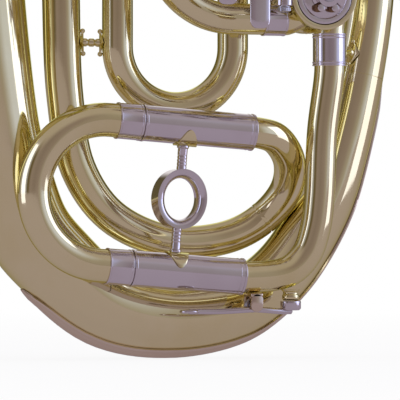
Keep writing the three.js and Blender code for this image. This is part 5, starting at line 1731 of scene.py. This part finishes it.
@dataclass
class MouthSection(Section):
    """The leadpipe, the receiver and the mouthpiece."""

    receiver_wall: float = 1.8
    receiver: float = 40
    shank_in: float = 24
    mouthpiece: float = 76
    rim: float = 18.26
    shank: float = 4.85
    throat: float = 2.1
    softness: float = 2.2

    def build(self) -> None:
        """Makes the pipe and what it carries."""
        route = leadpipe_route()
        skin = Skin()
        skin.tube(route.whole, S.wall, 40)
        self.dress("leadpipe", skin, Finish.BRASS)
        tip = route.stations[-1].point
        before = S.oval(*LEADPIPE[-2])
        axis = (tip - before).normalized()
        start = tip - axis * ((self.receiver - self.shank_in) / 2)
        inner, size = PIPE_END + 0.35, self.receiver
        outer = PIPE_END + 0.38 + self.receiver_wall
        skin = Skin()
        skin.turned([
            (inner, 0), (outer - 0.9, 0), (outer - 0.2, size * 0.12), (outer, size * 0.15),
            (outer, size * 0.3), (outer - 0.4, size * 0.33), (outer, size * 0.36), (outer, size * 0.78),
            (outer - 0.35, size * 0.8), (outer - 0.35, size * 0.84), (outer + 0.5, size * 0.88),
            (outer + 0.5, size - 0.4), (inner, size),
        ], start, axis, 64, 0.4, closed=True)
        self.dress("mouthpiece_receiver", skin, Finish.NICKEL)
        self.mouth(start + axis * (size - self.shank_in), axis)

    def mouth(self, place: Vector, axis: Vector) -> None:
        """The turned mouthpiece: tapered shank, bowl, rounded rim, cup and throat.

        Args:
            place: where the shank starts.
            axis: the way that it points.
        """
        r, size, t = self.rim, self.mouthpiece, self.throat
        outside = [(self.shank * 0.93, 0), (self.shank, self.shank_in), (self.shank * 1.1, size * 0.45)]
        outside += [(r * wide, size * far) for wide, far in (
            (0.36, 0.54), (0.42, 0.6), (0.6, 0.77), (0.86, 0.9), (0.98, 0.95), (1, 0.97), (0.97, 0.993),
            (0.88, 1))]
        inside = [(r * wide, size * far) for wide, far in (
            (0.76, 0.998), (0.68, 0.975), (0.62, 0.95), (0.5, 0.85), (0.38, 0.74))]
        inside += [(t * 1.5, size * 0.62), (t, size * 0.56), (t * 1.6, 0)]
        skin = Skin()
        skin.turned(outside + inside, place, axis, 72, self.softness, closed=True)
        self.dress("mouthpiece", skin, Finish.NICKEL)


@dataclass
class StaySection(Section):
    """The stays between the fixed tubes, and the thumb ring."""

    ring: float = 11
    band: float = 2.2
    stem: float = 4
    inner_rows: tuple = (37, 46)
    bell_stay: float = 0.68
    loop_stay: float = 0.3193
    thumb: float = 0.52

    def build(self) -> None:
        """Makes each stay from one tube to the next."""
        pipe = leadpipe_route()
        inner = self.on_inner(self.bell_stay)
        bell = station_near(BORE_ROUTE, inner[0].point, *stretch("bell"))
        self.one("bell_stay", (bell, inner))
        beside = station_near(pipe, S.oval(-0.535, -2, 1.03))
        self.one("leadpipe_stay", (station_near(BORE_ROUTE, beside[0].point, *stretch("bell")), beside))
        bow = station_near(BORE_ROUTE, S.oval(0.06, 0, 1), *stretch("top_bow"))
        self.one("top_stay", (bow, station_near(pipe, bow[0].point)))
        branch = self.on_inner(self.loop_stay)
        loop = LoopSection(self.materials)
        side = Station(Vector((loop.rear_leg, loop.rear_y, branch[0].point.z)), UP, S.tube)
        self.one("loop_stay", (branch, (side, 0)), 1.2)
        self.thumb_ring(self.on_inner(self.thumb))

    def on_inner(self, share: float) -> tuple:
        """The inner branch's station at a share of the oval's height, and how fast it widens there."""
        start, end = (ROWS[row] for row in self.inner_rows)
        return station_near(BORE_ROUTE, S.oval(-0.26, 0, share), start, end)

    def one(self, name: str, ends: Sequence, balls: float = 0) -> None:
        """Makes one stay with a flange at each end.

        Args:
            name: the node that it stands for.
            ends: for each end, its station and how fast the tube widens there.
            balls: radius of the flanges' rivets, or 0.
        """
        skin = Skin()
        stay(skin, ends, (True, True), balls)
        self.dress(name, skin, Finish.BRASS if name == "loop_stay" else Finish.NICKEL)

    def thumb_ring(self, grip: tuple) -> None:
        """The thumb ring on its stem, in front of the inner branch.

        Args:
            grip: the branch's station behind it, and how fast the branch widens there.
        """
        station, slope = grip
        skin = Skin()
        seat = station.point + FRONT * (station.radius + 0.3)
        centre = seat + FRONT * (self.stem + self.ring + self.band)
        half = self.band / 2
        profile = [(self.ring + half + half * cos(TAU * i / 16), self.band * 0.92 * sin(TAU * i / 16))
                   for i in range(16)]
        skin.turned(profile, centre, RIGHT, 64, 0, closed=True)
        size = self.stem + half + 0.3
        skin.turned([(0, 0), (2.9, 0), (1.9, 1.2), (1.9, size - 1), (2.6, size), (0, size)],
                    seat + FRONT * 0.4, FRONT, 32, 0.4)
        bent_diamond(skin, station, FRONT, slope)
        self.dress("thumb_ring", skin, Finish.NICKEL)


class Graph:
    """A small helper that adds and joins shader nodes."""

    def __init__(self, tree: bpy.types.NodeTree) -> None:
        """Keeps the tree of nodes."""
        self.tree = tree

    def add(self, kind: str, values: Optional[dict] = None, **settings: object) -> bpy.types.Node:
        """Adds a node.

        Args:
            kind: the node's type without its "ShaderNode" prefix.
            values: input name or number, to a value or a socket.
            settings: properties of the node.

        Returns:
            The node.
        """
        node = self.tree.nodes.new(kind if kind.startswith("Node") else "ShaderNode" + kind)
        for name, value in settings.items():
            setattr(node, name, value)
        for key, value in (values or {}).items():
            if isinstance(value, bpy.types.NodeSocket):
                self.tree.links.new(value, node.inputs[key])
            else:
                node.inputs[key].default_value = value
        return node

    def ramp(self, source: bpy.types.NodeSocket, stops: Sequence) -> bpy.types.NodeSocket:
        """Maps a value to colours.

        Args:
            source: the value.
            stops: pairs of position and colour.

        Returns:
            The colour.
        """
        node = self.add("ValToRGB", {0: source})
        band = node.color_ramp
        while len(band.elements) < len(stops):
            band.elements.new(0.5)
        for element, (position, colour) in zip(band.elements, stops):
            element.position = position
            element.color = (*colour, 1) if len(colour) == 3 else (colour[0],) * 3 + (1,)
        return node.outputs[0]


def empty_graph(owner: bpy.types.ID) -> Graph:
    """Gives a new material or world an empty tree of nodes.

    Args:
        owner: the material or world.

    Returns:
        What fills the tree.
    """
    owner.use_nodes = True
    owner.node_tree.nodes.clear()
    return Graph(owner.node_tree)


def wear_group() -> bpy.types.NodeTree:
    """Builds the shared effect of handled metal.

    Returns:
        A group with smudges, fine scratches and tarnish as values that change over the surface.
    """
    tree = bpy.data.node_groups.new("handled_metal", "ShaderNodeTree")
    for name, default in (("Smudge Size", 60.0), ("Scratch Size", 900.0), ("Tarnish Size", 18.0)):
        tree.interface.new_socket(name, in_out="INPUT", socket_type="NodeSocketFloat").default_value = default
    for name in ("Smudge", "Scratch", "Tarnish"):
        tree.interface.new_socket(name, in_out="OUTPUT", socket_type="NodeSocketFloat")
    g = Graph(tree)
    given = g.add("NodeGroupInput").outputs
    place = g.add("TexCoord").outputs["Object"]
    smudge = g.add("TexNoise", {"Vector": place, "Scale": given[0], "Detail": 3.0, "Roughness": 0.5})
    soft = g.add("MapRange", {0: smudge.outputs["Fac"], 1: 0.42, 2: 0.72})
    out = g.add("NodeGroupOutput")
    lines = []
    for turn in ((0.3, 0.9, 0.2), (1.1, -0.4, 0.7)):
        spun = g.add("Mapping", {"Vector": place, "Rotation": turn, "Scale": (1.0, 0.06, 1.0)})
        hair = g.add("TexNoise", {"Vector": spun.outputs[0], "Scale": given[1], "Detail": 3.0,
                                  "Roughness": 0.7})
        lines.append(g.add("MapRange", {0: hair.outputs["Fac"], 1: 0.60, 2: 0.74}).outputs[0])
    scratch = g.add("Math", {0: lines[0], 1: lines[1]}, operation="MAXIMUM")
    tarnish = g.add("TexNoise", {"Vector": place, "Scale": given[2], "Detail": 5.0, "Roughness": 0.55})
    spots = g.add("MapRange", {0: tarnish.outputs["Fac"], 1: 0.46, 2: 0.70})
    for i, socket in enumerate((soft.outputs[0], scratch.outputs[0], spots.outputs[0])):
        tree.links.new(socket, out.inputs[i])
    return tree


def metal(finish: Finish, wear: bpy.types.NodeTree) -> bpy.types.Material:
    """A polished metal with smudges, hair scratches and a little tarnish.

    Args:
        finish: the metal's finish.
        wear: the group that wear_group makes.

    Returns:
        The material.
    """
    look = LOOKS[finish]
    material = bpy.data.materials.new(finish.value)
    g = empty_graph(material)
    worn = g.add("Group", node_tree=wear)
    colour = g.add("MixRGB", {"Fac": worn.outputs["Tarnish"], "Color1": (*look.colour, 1),
                              "Color2": (*look.worn, 1)})
    rough = g.add("MapRange", {0: worn.outputs["Smudge"], 3: look.roughness,
                               4: look.roughness + look.spread})
    bump = g.add("Bump", {"Strength": look.scratches, "Distance": 0.0002, "Height": worn.outputs["Scratch"]})
    shader = g.add("BsdfPrincipled", {
        "Base Color": colour.outputs[0], "Roughness": rough.outputs[0], "Normal": bump.outputs[0],
        "Metallic": look.metallic, "Specular Tint": (*look.edge, 1), "Coat Weight": look.lacquer,
        "Coat Roughness": 0.03})
    g.add("OutputMaterial", {0: shader.outputs[0]})
    return material


def cork() -> bpy.types.Material:
    """Cork with its grains and dark pores.

    Returns:
        The material.
    """
    material = bpy.data.materials.new(Finish.CORK.value)
    g = empty_graph(material)
    place = g.add("TexCoord").outputs["Object"]
    grains = g.add("TexVoronoi", {"Vector": place, "Scale": 1500.0})
    pores = g.add("TexNoise", {"Vector": place, "Scale": 900.0, "Detail": 4.0})
    tone = g.ramp(grains.outputs["Distance"], ((0.0, (0.46, 0.27, 0.13)), (0.6, (0.30, 0.16, 0.07)),
                                             (1.0, (0.16, 0.08, 0.035))))
    dark = g.add("MapRange", {0: pores.outputs["Fac"], 1: 0.55, 2: 0.7, 3: 0.0, 4: 0.7})
    colour = g.add("MixRGB", {"Fac": dark.outputs[0], "Color1": tone, "Color2": (0.06, 0.03, 0.015, 1)})
    bump = g.add("Bump", {"Strength": 0.5, "Distance": 0.0003, "Height": grains.outputs["Distance"]})
    shader = g.add("BsdfPrincipled", {"Base Color": colour.outputs[0], "Normal": bump.outputs[0],
                                      "Roughness": 0.85})
    g.add("OutputMaterial", {0: shader.outputs[0]})
    return material


@dataclass(frozen=True)
class SoftBox:
    """A rectangular lamp: its place right of, ahead of and above the horn, its size and its brightness."""

    name: str
    right: float
    ahead: float
    height: float
    width: float
    tall: float
    brightness: float
    colour: tuple = (1.0, 1.0, 1.0)
    mirrored: bool = True


@dataclass
class Studio:
    """The white floor, the light tent, the soft boxes and the camera."""

    azimuth: float = radians(-18)
    elevation: float = radians(-0.4)
    lens: float = 400
    sensor: float = 36
    frame_width: float = 192
    aim: tuple = (16.3, 75.8)
    floor_size: float = 40
    boxes: tuple = (
        SoftBox("soft_box_left", -0.55, 0.16, 0.27, 0.30, 0.60, 1.45, (0.62, 0.67, 1.0)),
        SoftBox("soft_box_right", 0.62, 0.05, 0.30, 0.32, 0.60, 1.45, (0.62, 0.67, 1.0)),
        SoftBox("soft_box_top", 0.0, 0.1, 2.2, 1.4, 1.4, 3.0, (1.0, 1.0, 1.0), False),
    )
    white: tuple = (1.0, 1.0, 1.0)
    room: tuple = (0.262, 0.212, 0.238)
    olive: tuple = (0.12, 0.10, 0.045)
    window: tuple = (0.46, 0.47, 0.66)
    flank: tuple = (0.60, 0.64, 0.94)
    roof: tuple = (0.40, 0.35, 0.38)
    # painted reflection: the dim colour that the floor glows with in the metal's reflections, in place of a
    # lit floor
    painted_reflection: tuple = (0.385, 0.33, 0.40)
    joint: tuple = (0.13, 0.10, 0.06)
    overhead: tuple = (0.45, 0.80)
    floor_paint: float = 0.94
    floor_fade: tuple = (0.30, 1.2)
    floor_glow: tuple = (0.91, 1.0)
    # share of the floor's look in reflections that is this painted glow instead of lit paint
    painted_reflection_share: float = 0.9

    @property
    def facing(self) -> Vector:
        """Level direction from the horn to the camera."""
        return Vector((sin(self.azimuth), -cos(self.azimuth), 0))

    @property
    def rightward(self) -> Vector:
        """Level direction to the right in the picture."""
        return Vector((cos(self.azimuth), sin(self.azimuth), 0))

    @property
    def to_camera(self) -> Vector:
        """Direction from the horn to the camera."""
        return self.facing * cos(self.elevation) + UP * sin(self.elevation)

    def build(self) -> None:
        """Makes the floor, the world, the lamps and the camera."""
        self.floor()
        self.world()
        self.lamps()
        self.camera()

    def floor(self) -> None:
        """Makes a white floor that keeps the horn's shadow where the camera sees it; in reflections it shows
        a painted reflection, a dim glow of fixed colour that keeps little of that shadow.
        """
        mesh = bpy.data.meshes.new("studio_floor")
        r = self.floor_size / 2
        mesh.from_pydata([(-r, -r, 0), (r, -r, 0), (r, r, 0), (-r, r, 0)], [], [(0, 1, 2, 3)])
        obj = linked("studio_floor", mesh)
        material = bpy.data.materials.new("white_floor")
        g = empty_graph(material)
        paths = g.add("LightPath").outputs
        mirrored = g.add("Math", {0: paths["Is Glossy Ray"], 1: paths["Is Transmission Ray"]},
                         operation="MAXIMUM")
        place = g.add("TexCoord").outputs["Object"]
        away = g.add("VectorMath", {0: place}, operation="LENGTH")
        far = g.add("MapRange", dict(enumerate((away.outputs["Value"], *self.floor_fade, *self.floor_glow))))
        seen = g.add("Math", {0: paths["Is Camera Ray"], 1: far.outputs[0]}, operation="MULTIPLY")
        # painted reflection: glossy and transmission rays see the floor mostly as a glow of fixed colour,
        # whatever light falls on it
        reflection_share = g.add("Math", {0: mirrored.outputs[0], 1: self.painted_reflection_share}, operation="MULTIPLY")
        share = g.add("Math", {0: seen.outputs[0], 1: reflection_share.outputs[0]}, operation="MAXIMUM")
        grain = g.add("TexNoise", {"Scale": 3.0, "Detail": 3.0})
        tone = g.ramp(grain.outputs["Fac"], ((0.0, (0.46, 0.41, 0.43)), (1.0, (0.50, 0.45, 0.47))))
        shown = g.add("MixRGB", {"Fac": paths["Is Camera Ray"], "Color1": tone,
                                 "Color2": (*[self.floor_paint] * 3, 1)})
        paint = g.add("BsdfDiffuse", {"Color": shown.outputs[0]})
        # the glow is white for the camera and the painted reflection colour for all other rays
        white_and_reflection_glow = g.add("MixRGB", {"Fac": paths["Is Camera Ray"], "Color1": (*self.painted_reflection, 1),
                                 "Color2": (*self.white, 1)})
        glow = g.add("Emission", {"Color": white_and_reflection_glow.outputs[0]})
        mix = g.add("MixShader", {0: share.outputs[0], 1: paint.outputs[0], 2: glow.outputs[0]})
        g.add("OutputMaterial", {0: mix.outputs[0]})
        mesh.materials.append(material)

    def world(self) -> None:
        """Makes a light tent: a plain room in front, bright flanks and a white background."""
        world = bpy.data.worlds.new("light_tent")
        bpy.context.scene.world = world
        g = empty_graph(world)
        way = g.add("TexCoord").outputs["Generated"]
        turned = g.add("VectorRotate", {"Vector": way, "Angle": -self.azimuth}, rotation_type="Z_AXIS")
        parts = g.add("SeparateXYZ", {0: turned.outputs[0]}).outputs
        ahead = g.add("Math", {0: parts["Y"], 1: -1.0}, operation="MULTIPLY")
        around = g.add("Math", {0: parts["X"], 1: ahead.outputs[0]}, operation="ARCTAN2")
        share = g.add("MapRange", {0: around.outputs[0], 1: -pi, 2: pi})
        stops = ((-180, self.white), (-170, self.white), (-160, self.olive), (-124, (0.17, 0.14, 0.06)),
                 (-108, (0.32, 0.28, 0.27)), (-96, self.window), (-58, self.window), (-46, self.joint),
                 (-38, self.joint), (-27, self.room), (0, (0.225, 0.18, 0.20)), (26, self.room),
                 (42, (0.35, 0.32, 0.34)), (60, self.flank), (122, self.flank), (136, self.olive),
                 (160, self.olive), (170, self.white), (180, self.white))
        sides = g.ramp(share.outputs[0], [((angle + 180) / 360, colour) for angle, colour in stops])
        overhead = g.add("MapRange", {0: parts["Z"], 1: self.overhead[0], 2: self.overhead[1]},
                         interpolation_type="SMOOTHSTEP")
        tent = g.add("MixRGB", {"Fac": overhead.outputs[0], "Color1": sides, "Color2": (*self.roof, 1)})
        paths = g.add("LightPath").outputs
        seen = g.add("Math", {0: paths["Is Camera Ray"], 1: paths["Is Transmission Ray"]},
                     operation="MAXIMUM")
        picture = g.add("Background", {"Color": tent.outputs[0]})
        white = g.add("Background", {"Color": (*self.white, 1)})
        mix = g.add("MixShader", {0: seen.outputs[0], 1: picture.outputs[0], 2: white.outputs[0]})
        g.add("OutputWorld", {0: mix.outputs[0]})

    def lamps(self) -> None:
        """Makes the soft boxes, each turned to the horn."""
        for box in self.boxes:
            light = bpy.data.lights.new(box.name, "AREA")
            light.shape, light.size, light.size_y = "RECTANGLE", box.width, box.tall
            light.energy = pi * box.width * box.tall * box.brightness
            light.color = box.colour
            obj = linked(box.name, light)
            aside = self.rightward * box.right + self.facing * box.ahead
            obj.location = aside + UP * box.height
            aim = DOWN if box.height > 1 else -aside
            obj.rotation_euler = aim.to_track_quat("-Z", "Y").to_euler()
            obj.visible_camera = False
            obj.visible_glossy = box.mirrored

    def camera(self) -> None:
        """The camera at the photograph's angle."""
        data = bpy.data.cameras.new("camera")
        data.lens, data.sensor_width, data.sensor_fit = self.lens, self.sensor, "HORIZONTAL"
        data.clip_end = 60
        obj = linked("camera", data)
        aim = (self.rightward * self.aim[0] + UP * (self.aim[1] / cos(self.elevation))) * MM
        obj.location = aim + self.to_camera * (self.frame_width * self.lens / self.sensor * MM)
        obj.rotation_euler = (-self.to_camera).to_track_quat("-Z", "Y").to_euler()
        bpy.context.scene.camera = obj


def main() -> None:
    """Builds the horn's sections in order, then the studio."""
    wear = wear_group()
    materials = {finish: metal(finish, wear) for finish in LOOKS}
    materials[Finish.CORK] = cork()
    bpy.context.scene.view_settings.view_transform = "Standard"
    for kind in (BoreSection, MainSlideSection, ValveSection, LeverSection, LoopSection, ExitSection,
                 MouthSection, StaySection):
        section = kind(materials)
        section.build()
        for piece, body in section.pieces:
            LOG.info("%s: %s rides on %s", kind.__name__, piece, body)
    Studio().build()


if __name__ == "__main__":
    logging.basicConfig(level=logging.INFO, format="%(name)s: %(message)s")
    main()
